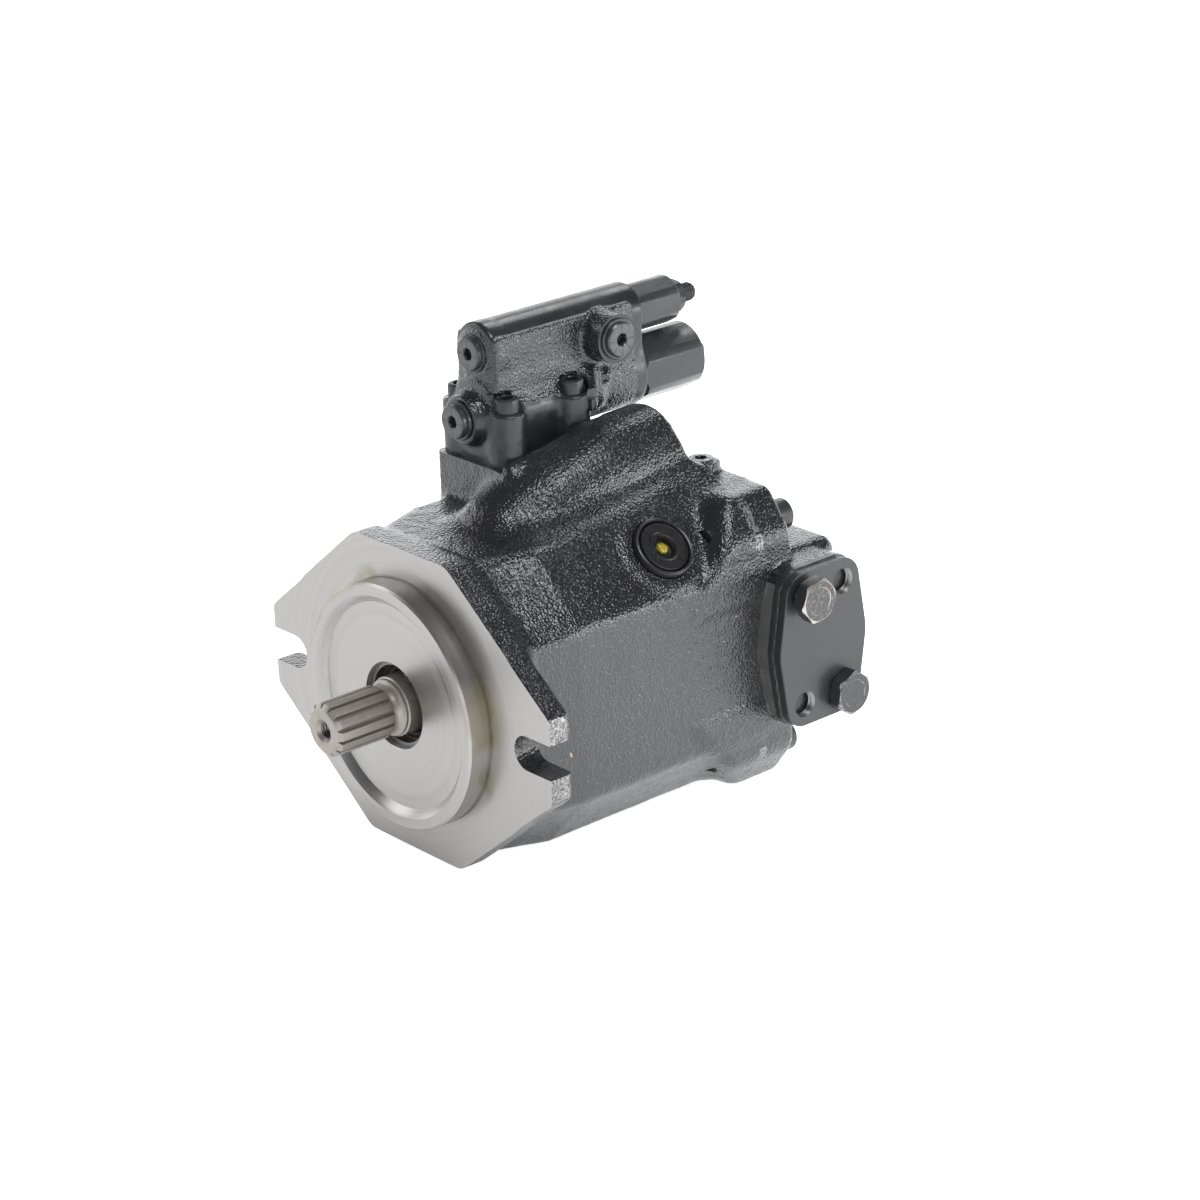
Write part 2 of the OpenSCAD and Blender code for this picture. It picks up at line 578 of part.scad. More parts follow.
module lower_spring() color([0.4, 0.4, 0.42]) at_lo() coil(120, 157, 6.2, 1.4, 6);
module lower_seat() color(steel) at_lo() union() { cy(157, 160.5, 8.6); cy(150, 158, 3.6); }
module lower_cap() color(iron) at_lo() difference() {
  union() {
    cy(130, 141.5, 9.95);
    intersection() { hexy(141, 174.5, 26.4); cy(141, 174.5, 14.3); }
  }
  cy(120, 169, 8.7);
  cy(160, 180, 4.05);
}
module lower_screw() color([0.2, 0.2, 0.21]) at_lo() difference() {
  union() { cy(160.55, 182, 4); cy(160.55, 182.8, 3.2); }
  hexy(178, 184, 4);
}
module lower_nut() color([0.15, 0.15, 0.16]) at_lo() difference() {
  intersection() { hexy(174.55, 179.2, 13); cy(174, 180, 7.1); }
  cy(170, 185, 4.04);
}

housing();
port_plate();
housing_seal_ring();
housing_bolts();
locating_dowels();
shaft_seal();
seal_ring_clip();
drive_shaft();
front_bearing_outer();
front_bearing_inner();
front_rollers();
rear_bearing_outer();
rear_bearing_inner();
rear_rollers();
swash_plate();
cradle_shells();
cradle_rollers();
slippers();
retaining_plate();
retaining_ball();
pistons();
cylinder_block();
block_spring();
block_spring_seats();
push_pins();
valve_plate();
valve_plate_pin();
stroking_sleeve();
stroking_piston();
return_guide();
return_spring();
return_seat();
drain_plug();
drain_plug_insert();
fill_plug();
gauge_plug();
press_gasket();
press_cover();
press_cover_bolts();
suct_gasket();
suct_cover();
suct_cover_bolts();
valve_body();
valve_screws();
valve_orings();
front_plugs();
side_plug();
upper_spool();
upper_spring();
upper_seat();
upper_cap();
upper_screw();
upper_nut();
lower_spool();
lower_spring();
lower_seat();
lower_cap();
lower_screw();
lower_nut();
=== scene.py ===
import json
import math

import bmesh
import bpy
import numpy as np
from mathutils import Matrix, Vector, noise

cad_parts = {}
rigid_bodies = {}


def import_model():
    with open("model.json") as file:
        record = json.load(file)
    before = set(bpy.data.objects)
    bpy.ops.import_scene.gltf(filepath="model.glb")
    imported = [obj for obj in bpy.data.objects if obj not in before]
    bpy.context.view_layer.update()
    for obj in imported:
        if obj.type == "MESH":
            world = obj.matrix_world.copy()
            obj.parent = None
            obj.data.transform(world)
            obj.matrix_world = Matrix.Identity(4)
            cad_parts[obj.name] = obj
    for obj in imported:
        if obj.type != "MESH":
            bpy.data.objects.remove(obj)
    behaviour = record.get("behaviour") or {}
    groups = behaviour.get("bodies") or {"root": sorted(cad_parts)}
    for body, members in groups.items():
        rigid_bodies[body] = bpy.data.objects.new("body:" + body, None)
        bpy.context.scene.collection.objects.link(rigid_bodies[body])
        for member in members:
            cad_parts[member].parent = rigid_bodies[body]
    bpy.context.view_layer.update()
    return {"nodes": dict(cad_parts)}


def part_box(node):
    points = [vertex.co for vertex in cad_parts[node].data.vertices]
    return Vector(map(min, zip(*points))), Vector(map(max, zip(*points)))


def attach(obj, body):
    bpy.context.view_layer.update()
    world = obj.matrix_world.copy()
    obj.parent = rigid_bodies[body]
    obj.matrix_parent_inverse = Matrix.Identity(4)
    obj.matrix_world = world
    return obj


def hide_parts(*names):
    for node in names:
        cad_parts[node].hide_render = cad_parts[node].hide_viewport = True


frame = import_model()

MM = 0.001
NODES = frame["nodes"]


def node_mm(name):
    """Lowest and highest corner of a CAD node in millimetres."""
    lo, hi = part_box(name)
    return lo / MM, hi / MM


# ---------------------------------------------------------------- places read from the frame
flange_lo, _ = node_mm("housing")
PILOT_H = -flange_lo.y
PLATE_LO, PLATE_HI = node_mm("port_plate")
COVER_LO, COVER_HI = node_mm("press_cover")
SUCT_LO, SUCT_HI = node_mm("suct_cover")
UP_LO, UP_HI = node_mm("upper_cap")
LOW_LO, LOW_HI = node_mm("lower_cap")
SHAFT_LO, SHAFT_HI = node_mm("drive_shaft")
SCREW_LO, SCREW_HI = node_mm("valve_screws")
VALVE_X = (UP_LO.x + UP_HI.x) / 2
UP_Z = (UP_LO.z + UP_HI.z) / 2
LO_Z = (LOW_LO.z + LOW_HI.z) / 2
PORT_Y = (COVER_LO.y + COVER_HI.y) / 2
SPLIT = 136.0
FLANGE_T = 11.2
CAVITY_R = 50.0
TILT_Y = 72.0
STROKE_O = Vector((3, TILT_Y - 10, 72.5 - (140 - TILT_Y) * 0.295))
STROKE_A = math.atan(0.295)
SCREW_X, SCREW_Y = (-14.5, 14.5), (65, 99)
BOLT = (50, 49)


# ---------------------------------------------------------------- signed distance fields
def smin(a, b, k):
    h = np.maximum(k - np.abs(a - b), 0) / k
    return np.minimum(a, b) - h * h * k / 4


def smax(a, b, k):
    return -smin(-a, -b, k)


def ball_box(p, lo, hi, r):
    q = [np.abs(p[i] - (lo[i] + hi[i]) / 2) - (hi[i] - lo[i]) / 2 + r for i in range(3)]
    out = np.sqrt(sum(np.maximum(c, 0) ** 2 for c in q))
    return out + np.minimum(np.maximum(np.maximum(q[0], q[1]), q[2]), 0) - r


def rod(p, axis, centre, a, b, r, edge=1.5):
    """Cylinder along an axis, centred on the other two coordinates, with rounded rims."""
    i, j = [k for k in range(3) if k != axis]
    d = np.sqrt((p[i] - centre[0]) ** 2 + (p[j] - centre[1]) ** 2) - r
    return smax(d, np.abs(p[axis] - (a + b) / 2) - (b - a) / 2, max(edge, 0.01))


def chain(p, points):
    """Round bar through points (x, y, z, radius)."""
    best = None
    for a, b in zip(points, points[1:]):
        ab = [b[i] - a[i] for i in range(3)]
        t = sum((p[i] - a[i]) * ab[i] for i in range(3)) / sum(c * c for c in ab)
        t = np.clip(t, 0, 1)
        d = np.sqrt(sum((p[i] - a[i] - t * ab[i]) ** 2 for i in range(3)))
        d = d - (a[3] + t * (b[3] - a[3]))
        best = d if best is None else np.minimum(best, d)
    return best


def cut_corner(p, hx, hz, c, d, k):
    """Prism along Y with flat sides and cut corners, (c, hz) to (hx, d)."""
    ax, az = np.abs(p[0]), np.abs(p[2])
    length = np.sqrt((hz - d) ** 2 + (hx - c) ** 2)
    cut = ((ax - c) * (hz - d) + (az - hz) * (hx - c)) / length
    return smax(smax(ax - hx, az - hz, k), cut, k)


def surface_nets(name, field, lo, hi, step):
    """Closed quad mesh where field(p) = 0, in a box given in millimetres."""
    axes = [np.arange(lo[i] - 2 * step, hi[i] + 3 * step, step) for i in range(3)]
    grid = np.meshgrid(*axes, indexing="ij", sparse=True)
    d = np.ascontiguousarray(np.broadcast_to(field(grid), [len(a) for a in axes]))
    inside = d < 0
    n = [s - 1 for s in d.shape]
    count = np.zeros(n, np.int8)
    corner = [(i, j, k) for i in (0, 1) for j in (0, 1) for k in (0, 1)]
    for i, j, k in corner:
        count += inside[i:i + n[0], j:j + n[1], k:k + n[2]]
    active = (count > 0) & (count < 8)
    index = np.full(n, -1, np.int64)
    cell = np.argwhere(active)
    index[active] = np.arange(len(cell))
    total, hits = np.zeros((len(cell), 3)), np.zeros(len(cell))
    for a in corner:
        for axis in range(3):
            if a[axis]:
                continue
            b = list(a)
            b[axis] = 1
            da = d[tuple((cell + a).T)]
            db = d[tuple((cell + b).T)]
            cross = (da < 0) != (db < 0)
            t = np.where(cross, da / np.where(cross, da - db, 1), 0)
            point = np.tile(np.array(a, float), (len(cell), 1))
            point[:, axis] += t
            total[cross] += point[cross]
            hits[cross] += 1
    verts = np.array([a[0] for a in axes]) + (cell + total / hits[:, None]) * step
    quads = []
    for axis in range(3):
        u, v = (axis + 1) % 3, (axis + 2) % 3
        near = [slice(1, None)] * 3
        far = [slice(1, None)] * 3
        near[axis], far[axis] = slice(0, -1), slice(1, None)
        change = inside[tuple(near)] != inside[tuple(far)]
        at = np.argwhere(change)
        keep = inside[tuple(near)][tuple(at.T)]
        offset = np.ones(3, np.int64)
        offset[axis] = 0
        at = at + offset
        eu, ev = np.eye(3, dtype=np.int64)[u], np.eye(3, dtype=np.int64)[v]
        four = [index[tuple((at - s * eu - t * ev).T)] for s, t in ((1, 1), (0, 1), (0, 0), (1, 0))]
        q = np.stack(four, 1)
        q[~keep] = q[~keep][:, ::-1]
        quads.append(q)
    mesh = bpy.data.meshes.new(name)
    mesh.from_pydata((verts * MM).tolist(), [], np.vstack(quads).tolist())
    mesh.validate()
    return link(name, mesh)


def roughen(o, amount, size, keep=None):
    """Deterministic sand-cast unevenness along the normals, in millimetres."""
    mesh = o.data
    co = np.empty(len(mesh.vertices) * 3)
    no = np.empty(len(mesh.vertices) * 3, np.float32)
    mesh.vertices.foreach_get("co", co)
    mesh.vertex_normals.foreach_get("vector", no)
    co, no = co.reshape(-1, 3), no.reshape(-1, 3)
    p = co / MM
    d = np.array([
        noise.noise(Vector(q) / size) * 0.62 + noise.noise(Vector(q) / (size * 2.7)) * 0.5
        + noise.noise(Vector(q) / 19) * 0.55
        for q in p.tolist()
    ])
    if keep is not None:
        d = d * keep(p)
    co += no * (d * amount * MM)[:, None]
    mesh.vertices.foreach_set("co", co.ravel())
    mesh.update()


# ---------------------------------------------------------------- crisp solids
def link(name, mesh):
    o = bpy.data.objects.new(name, mesh)
    bpy.context.scene.collection.objects.link(o)
    return o


def from_bm(name, bm):
    bmesh.ops.recalc_face_normals(bm, faces=bm.faces)
    mesh = bpy.data.meshes.new(name)
    bm.to_mesh(mesh)
    bm.free()
    return link(name, mesh)


ALONG_Y = Matrix.Rotation(-math.pi / 2, 4, "X")
ALONG_X = Matrix.Rotation(math.pi / 2, 4, "Y")


def at(x, y, z, turn=None):
    m = Matrix.Translation(Vector((x, y, z)))
    return m @ turn if turn is not None else m


def slant(s):
    return at(s * 48, 93, 49.9, Matrix.Rotation(math.radians(s * 45), 4, "Y"))


def stroke():
    return Matrix.Translation(STROKE_O) @ Matrix.Rotation(STROKE_A - math.pi / 2, 4, "X")


def lathe(name, profile, m, n=96):
    """Closed solid turned from (radius, height) points about the local Z axis."""
    bm = bmesh.new()
    rings = []
    for r, h in profile:
        if r < 1e-6:
            rings.append([bm.verts.new((0, 0, h))])
        else:
            rings.append([
                bm.verts.new((r * math.cos(2 * math.pi * i / n), r * math.sin(2 * math.pi * i / n), h))
                for i in range(n)
            ])
    for a, b in zip(rings, rings[1:] + rings[:1]):
        if len(a) == 1 and len(b) == 1:
            continue
        for i in range(n):
            j = (i + 1) % n
            ring = [a[i % len(a)], a[j % len(a)], b[j % len(b)], b[i % len(b)]]
            bm.faces.new(list(dict.fromkeys(ring)))
    bm.transform(Matrix.Scale(MM, 4) @ m)
    return from_bm(name, bm)


def tube(r, a, b, m, n=64, name="t", c=0):
    """Plain or chamfered cylinder, used as a cutter or a pin."""
    if c:
        return lathe(name, [(0, a), (r - c, a), (r, a + c), (r, b - c), (r - c, b), (0, b)], m, n)
    return lathe(name, [(0, a), (r, a), (r, b), (0, b)], m, n)


def prism(name, outline, a, b, m):
    """Solid from a closed outline in the local XY plane, from height a to b."""
    bm = bmesh.new()
    lower = [bm.verts.new((x, y, a)) for x, y in outline]
    upper = [bm.verts.new((x, y, b)) for x, y in outline]
    bm.faces.new(lower[::-1])
    bm.faces.new(upper)
    for i in range(len(lower)):
        j = (i + 1) % len(lower)
        bm.faces.new([lower[i], lower[j], upper[j], upper[i]])
    bm.transform(Matrix.Scale(MM, 4) @ m)
    return from_bm(name, bm)


def block(lo, hi, m=Matrix.Identity(4)):
    return prism("t", [(lo[0], lo[1]), (hi[0], lo[1]), (hi[0], hi[1]), (lo[0], hi[1])], lo[2], hi[2], m)


def ngon(flats, n=6, turn=0.0):
    r = flats / 2 / math.cos(math.pi / n)
    return [(r * math.cos(2 * math.pi * i / n + turn), r * math.sin(2 * math.pi * i / n + turn)) for i in range(n)]


def boolean(base, other, op="DIFFERENCE"):
    mod = base.modifiers.new("cut", "BOOLEAN")
    mod.operation, mod.object = op, other
    result = None
    for solver in ("MANIFOLD", "EXACT"):
        mod.solver = solver
        dg = bpy.context.evaluated_depsgraph_get()
        result = bpy.data.meshes.new_from_object(base.evaluated_get(dg))
        if len(result.polygons) > 3:
            break
    base.modifiers.clear()
    base.data = result
    bpy.data.objects.remove(other)
    return base


def union(parts):
    base = parts[0]
    for p in parts[1:]:
        boolean(base, p, "UNION")
    return base


def shade(o, angle=32):
    mesh = o.data
    mesh.shade_smooth()
    mesh.set_sharp_from_angle(angle=math.radians(angle))


def join(name, parts):
    """One object from several closed solids that don't touch."""
    bm = bmesh.new()
    for p in parts:
        bm.from_mesh(p.data)
        bpy.data.objects.remove(p)
    mesh = bpy.data.meshes.new(name)
    bm.to_mesh(mesh)
    bm.free()
    return link(name, mesh)


def bevel(o, width, segments=2, angle=35):
    mod = o.modifiers.new("edge", "BEVEL")
    mod.width, mod.segments = width * MM, segments
    mod.limit_method, mod.angle_limit = "ANGLE", math.radians(angle)
    mod.use_clamp_overlap = True
    mod.harden_normals = False
    dg = bpy.context.evaluated_depsgraph_get()
    mesh = bpy.data.meshes.new_from_object(o.evaluated_get(dg))
    o.modifiers.clear()
    o.data = mesh
    return o


def paint(o, materials, rule=None):
    """Materials for an object; rule(centres in mm, normals) gives the index per face."""
    mesh = o.data
    mesh.materials.clear()
    for m in materials:
        mesh.materials.append(m)
    if rule is not None:
        n = len(mesh.polygons)
        c, no = np.empty(n * 3, np.float32), np.empty(n * 3, np.float32)
        mesh.polygons.foreach_get("center", c)
        mesh.polygons.foreach_get("normal", no)
        mesh.polygons.foreach_set(
            "material_index", rule(c.reshape(-1, 3) / MM, no.reshape(-1, 3)).astype(np.int32))
    else:
        mesh.polygons.foreach_set("material_index", np.zeros(len(mesh.polygons), np.int32))
    mesh.update()


def settle(o, name, body, replaced, angle=32):
    o.name = name
    shade(o, angle)
    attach(o, body)
    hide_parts(*replaced)
    return o


def stand_in(o, node, angle=32, name=None):
    """Put a detailed mesh in the place of one CAD node, on the body that carries it."""
    return settle(o, name or node + "_detail", NODES[node].parent.name.split(":")[1], [node], angle)


# ---------------------------------------------------------------- materials
class Tree:
    """A small writer of shader nodes; positions are object millimetres."""

    def __init__(self, name):
        self.material = bpy.data.materials.new(name)
        self.material.use_nodes = True
        self.t = self.material.node_tree
        self.bsdf = self.t.nodes["Principled BSDF"]
        coord = self.add("ShaderNodeTexCoord")
        scale = self.add("ShaderNodeVectorMath", operation="SCALE")
        self.t.links.new(coord.outputs["Object"], scale.inputs[0])
        scale.inputs["Scale"].default_value = 1000
        self.mm = scale.outputs[0]
        self.normal = None

    def add(self, kind, **props):
        node = self.t.nodes.new(kind)
        for k, v in props.items():
            setattr(node, k, v)
        return node

    def put(self, socket, value):
        if hasattr(value, "is_linked") or hasattr(value, "links"):
            self.t.links.new(value, socket)
        elif isinstance(value, tuple) and len(value) == 3 and socket.type == "RGBA":
            socket.default_value = (*value, 1)
        else:
            socket.default_value = value

    def noise(self, scale, detail=3.0, rough=0.55, vector=None):
        n = self.add("ShaderNodeTexNoise")
        self.put(n.inputs["Vector"], vector if vector is not None else self.mm)
        n.inputs["Scale"].default_value = scale
        n.inputs["Detail"].default_value = detail
        n.inputs["Roughness"].default_value = rough
        return n.outputs["Fac"]

    def cells(self, scale, feature="F1"):
        n = self.add("ShaderNodeTexVoronoi", feature=feature)
        self.put(n.inputs["Vector"], self.mm)
        n.inputs["Scale"].default_value = scale
        return n.outputs["Distance"]

    def ramp(self, value, *stops):
        n = self.add("ShaderNodeValToRGB")
        self.put(n.inputs[0], value)
        e = n.color_ramp.elements
        while len(e) < len(stops):
            e.new(0.5)
        for slot, (pos, c) in zip(e, stops):
            slot.position = pos
            slot.color = (*c, 1) if isinstance(c, tuple) else (c, c, c, 1)
        return n.outputs[0]

    def mix(self, fac, a, b):
        n = self.add("ShaderNodeMix", data_type="RGBA")
        self.put(n.inputs[0], fac)
        self.put(n.inputs[6], a)
        self.put(n.inputs[7], b)
        return n.outputs[2]

    def math(self, op, a, b=0.0, c=0.0):
        n = self.add("ShaderNodeMath", operation=op)
        for i, v in enumerate((a, b, c)):
            self.put(n.inputs[i], v)
        return n.outputs[0]

    def bump(self, height, distance, strength=1.0):
        n = self.add("ShaderNodeBump")
        n.inputs["Strength"].default_value = strength
        n.inputs["Distance"].default_value = distance * MM
        self.put(n.inputs["Height"], height)
        if self.normal is not None:
            self.put(n.inputs["Normal"], self.normal)
        self.normal = n.outputs[0]

    def split(self):
        n = self.add("ShaderNodeSeparateXYZ")
        self.put(n.inputs[0], self.mm)
        return n.outputs

    def pointy(self, lo, hi):
        g = self.add("ShaderNodeNewGeometry")
        return self.ramp(g.outputs["Pointiness"], (lo, 0.0), (hi, 1.0))

    def done(self, **inputs):
        for k, v in inputs.items():
            self.put(self.bsdf.inputs[k.replace("_", " ")], v)
        if self.normal is not None:
            self.t.links.new(self.normal, self.bsdf.inputs["Normal"])
            self.t.links.new(self.normal, self.bsdf.inputs["Coat Normal"])
        return self.material


def m_cast():
    """Black enamel over sand-cast iron: grain, pits, worn ridges and a few chips down to the primer."""
    t = Tree("black_cast")
    lumps, grain, fine = t.noise(0.2, 2), t.noise(0.9, 2.0, 0.5), t.noise(1.9, 1.5)
    patch = t.ramp(t.noise(0.045, 2), (0.38, 0.85), (0.62, 1.0))
    pits = t.ramp(t.cells(1.0, "SMOOTH_F1"), (0.15, 0.0), (0.75, 1.0))
    t.bump(lumps, 0.10, 0.4)
    t.bump(t.math("MULTIPLY", pits, patch), 0.17, 1.0)
    t.bump(t.math("MULTIPLY", grain, patch), 0.38, 1.0)
    t.bump(fine, 0.05, 0.8)
    worn = t.math("MULTIPLY", t.pointy(0.53, 0.60), t.ramp(t.noise(0.6, 4), (0.42, 0.0), (0.6, 1.0)))
    chips = t.math("MULTIPLY", t.ramp(t.noise(0.25, 1.0), (0.79, 0.0), (0.80, 1.0)),
                   t.ramp(t.noise(0.03, 1.0), (0.5, 0.0), (0.52, 1.0)))
    base = t.mix(t.noise(0.05, 3), (0.0085, 0.009, 0.0105), (0.014, 0.0145, 0.0165))
    base = t.mix(t.math("MULTIPLY", worn, 0.4), base, (0.09, 0.09, 0.092))
    base = t.mix(chips, base, (0.42, 0.27, 0.16))
    rough = t.ramp(t.noise(0.11, 4), (0.3, 0.15), (0.7, 0.24))
    return t.done(Base_Color=base, Roughness=rough, Specular_IOR_Level=0.55,
                  Coat_Weight=0.5, Coat_Roughness=0.08)


def m_smooth(name="black_smooth", lo=(0.010, 0.0105, 0.0115), hi=(0.02, 0.021, 0.023), rough=(0.26, 0.42)):
    """Painted machined surface: smooth satin black with faint runs, scuffs and dull spots."""
    t = Tree(name)
    streak = t.noise(0.09, 4)
    scuff = t.ramp(t.noise(0.5, 5, 0.7), (0.60, 0.0), (0.70, 1.0))
    t.bump(t.noise(0.22, 3), 0.09, 0.5)
    t.bump(t.noise(1.1, 2), 0.02, 0.5)
    edge = t.math("MULTIPLY", t.pointy(0.56, 0.66), t.noise(0.9, 3))
    base = t.mix(streak, lo, hi)
    base = t.mix(t.math("MULTIPLY", scuff, 0.25), base, (0.07, 0.07, 0.07))
    base = t.mix(edge, base, (0.13, 0.13, 0.13))
    return t.done(Base_Color=base, Roughness=t.ramp(streak, (0.3, rough[0]), (0.7, rough[1])),
                  Specular_IOR_Level=0.5, Coat_Weight=0.2, Coat_Roughness=0.22)


def m_oxide(name="black_oxide", bare=0.0, lo=(0.012, 0.0125, 0.0135), hi=(0.028, 0.029, 0.031),
            copper=0.5, rough=(0.26, 0.42)):
    """Painted fasteners; bare is how much of the black has rubbed through to bright or coppery metal."""
    t = Tree(name)
    worn = t.ramp(t.noise(0.8, 5, 0.7), (0.62 - bare * 0.5, 0.0), (0.70 - bare * 0.4, 1.0))
    scratch = t.ramp(t.noise(3.2, 2, 0.6), (0.60 - bare * 0.16, 0.0), (0.66, 1.0))
    worn = t.math("MULTIPLY", t.math("MAXIMUM", worn, t.math("MULTIPLY", scratch, bare)), min(1.0, bare * 1.4))
    t.bump(t.noise(0.7, 3), 0.05, 0.5)
    t.bump(worn, 0.02, 0.5)
    metal = t.mix(t.ramp(t.noise(0.3, 2), (0.62 - copper * 0.3, 0.0), (0.72 - copper * 0.2, 1.0)),
                  (0.44, 0.44, 0.44), (0.40, 0.29, 0.22))
    base = t.mix(t.noise(0.3, 3), lo, hi)
    return t.done(Base_Color=t.mix(worn, base, metal), Metallic=t.math("MULTIPLY", worn, 0.85),
                  Roughness=t.ramp(t.noise(0.5, 3), (0.3, rough[0]), (0.7, rough[1])), Specular_IOR_Level=0.5)


def radial(t, axis_y=True):
    """Distance from the shaft axis in millimetres."""
    x, y, z = t.split()
    return t.math("SQRT", t.math("ADD", t.math("MULTIPLY", x, x), t.math("MULTIPLY", z, z)))


def ring_noise(t, scale, detail=2.0, sweep=0.35):
    """Noise that follows the turning tool: fine along the radius, long around it."""
    x, y, z = t.split()
    angle = t.math("ARCTAN2", z, x)
    c = t.add("ShaderNodeCombineXYZ")
    t.put(c.inputs[0], t.math("MULTIPLY", radial(t), scale))
    t.put(c.inputs[1], t.math("MULTIPLY", angle, sweep))
    t.put(c.inputs[2], t.math("MULTIPLY", y, scale * 0.5))
    return t.noise(1.0, detail, 0.6, c.outputs[0])


def m_machined():
    """Bare turned cast iron of the flange face and pilot, with tool rings, pores and a stain."""
    t = Tree("machined_iron")
    fine, broad = ring_noise(t, 2.6, sweep=0.12), ring_noise(t, 0.35, 3, 0.1)
    pores = t.ramp(t.noise(0.9, 3, 0.7), (0.70, 0.0), (0.76, 1.0))
    t.bump(fine, 0.012, 0.8)
    t.bump(t.noise(2.2, 2), 0.008, 0.5)
    base = t.mix(fine, (0.37, 0.359, 0.344), (0.475, 0.462, 0.445))
    base = t.mix(t.ramp(broad, (0.35, 0.0), (0.7, 0.35)), base, (0.52, 0.507, 0.49))
    base = t.mix(t.math("MULTIPLY", pores, 0.5), base, (0.10, 0.09, 0.08))
    r = radial(t)
    near = t.math("SUBTRACT", 1.0, t.math("MINIMUM", t.math("ABSOLUTE", t.math("DIVIDE", t.math("SUBTRACT", r, 52.5), 5.0)), 1.0))
    stain = t.math("MULTIPLY", near, t.ramp(t.noise(0.035, 2), (0.50, 0.0), (0.62, 0.7)))
    base = t.mix(stain, base, (0.24, 0.20, 0.09))
    return t.done(Base_Color=base, Metallic=0.95, Roughness=t.ramp(broad, (0.3, 0.27), (0.7, 0.38)))


def m_steel(name, lo, hi, rough=(0.22, 0.38), around=True, worn=0.0, metallic=1.0):
    """Ground or turned steel with fine marks along the turning direction."""
    t = Tree(name)
    marks = ring_noise(t, 3.0) if around else t.noise(1.2, 4)
    smear = t.noise(0.12, 3)
    t.bump(marks, 0.008, 0.7)
    base = t.mix(t.mix(0.4, marks, smear), lo, hi)
    if worn:
        base = t.mix(t.math("MULTIPLY", t.ramp(smear, (0.5, 0.0), (0.7, 1.0)), worn), base, (0.20, 0.155, 0.115))
    return t.done(Base_Color=base, Metallic=metallic, Roughness=t.ramp(smear, (0.3, rough[0]), (0.7, rough[1])))


def m_worn_silver():
    """Speckled bare and painted metal on the ends of the mounting ears."""
    t = Tree("worn_silver")
    speck = t.ramp(t.noise(1.1, 4, 0.7), (0.40, 0.0), (0.62, 1.0))
    t.bump(t.noise(0.8, 3), 0.35, 0.9)
    base = t.mix(speck, (0.035, 0.035, 0.036), (0.40, 0.395, 0.385))
    return t.done(Base_Color=base, Metallic=t.math("MULTIPLY", speck, 0.85), Roughness=t.ramp(speck, (0.0, 0.25), (1.0, 0.38)))


def m_soft(name, colour, other, rough=0.6, size=0.6, bump=0.06, **extra):
    """Rubber, plastic, gasket paper or coated wire with a mottled, finely uneven surface."""
    t = Tree(name)
    t.bump(t.noise(size, 3), bump, 0.6)
    return t.done(Base_Color=t.mix(t.noise(size * 0.5, 3), colour, other),
                  Roughness=t.ramp(t.noise(size, 2), (0.3, rough * 0.8), (0.7, rough)), **extra)


CAST, SMOOTH, OXIDE = m_cast(), m_smooth(), m_oxide()
CAP = m_smooth("cap_black", (0.018, 0.019, 0.0205), (0.034, 0.0355, 0.038), (0.22, 0.36))
COVER = m_smooth("cover_satin", (0.020, 0.021, 0.022), (0.030, 0.031, 0.033), (0.34, 0.46))
MACHINED, SILVER = m_machined(), m_worn_silver()
SHAFT = m_steel("shaft_steel", (0.31, 0.285, 0.26), (0.44, 0.41, 0.375), (0.34, 0.46), worn=0.3, metallic=0.75)
BRIGHT = m_steel("ground_steel", (0.46, 0.46, 0.46), (0.66, 0.65, 0.64))
BEARING = m_steel("bearing_steel", (0.5, 0.5, 0.51), (0.72, 0.72, 0.72), (0.14, 0.26))
GREY = m_steel("cast_grey", (0.20, 0.20, 0.20), (0.34, 0.335, 0.33), (0.4, 0.6), around=False)
BRONZE = m_steel("bronze", (0.50, 0.34, 0.15), (0.68, 0.48, 0.24), (0.28, 0.44))
SPRING = m_steel("spring_steel", (0.12, 0.12, 0.13), (0.24, 0.24, 0.25), (0.3, 0.5), around=False)
RUBBER = m_soft("rubber", (0.012, 0.012, 0.012), (0.022, 0.022, 0.022), 0.62)
GASKET = m_soft("gasket", (0.03, 0.031, 0.032), (0.055, 0.055, 0.054), 0.8, 1.4, 0.05)
PLASTIC = m_soft("plug_plastic", (0.008, 0.008, 0.009), (0.014, 0.014, 0.015), 0.34, 0.8, 0.02)
AMBER = m_soft("amber_plastic", (0.14, 0.105, 0.004), (0.42, 0.33, 0.015), 0.25, 0.7, 0.05, Coat_Weight=0.6)
SCUFFED = m_oxide("scuffed_top", 0.22, (0.035, 0.035, 0.036), (0.06, 0.06, 0.06), 0.2)
SCUFFED_LIGHT = m_oxide("scuffed_light", 0.08, (0.03, 0.031, 0.033), (0.05, 0.05, 0.052), 0.0)
RUBBED = m_oxide("rubbed_lightly", 0.4, copper=0.2)
BARE = m_oxide("rubbed_edge", 0.8, copper=0.75)
SHAFT_FLANK = m_steel("spline_flank", (0.20, 0.182, 0.165), (0.30, 0.275, 0.25), (0.4, 0.55), metallic=0.7)
CLIP = m_steel("clip_steel", (0.12, 0.12, 0.12), (0.26, 0.255, 0.25), (0.26, 0.4), around=False, metallic=0.8)
SEAL_CASE = m_steel("seal_case", (0.17, 0.14, 0.12), (0.33, 0.27, 0.23), (0.3, 0.45), metallic=0.8)
THREAD = m_steel("thread_bright", (0.10, 0.10, 0.10), (0.34, 0.335, 0.33), (0.3, 0.45), around=False)

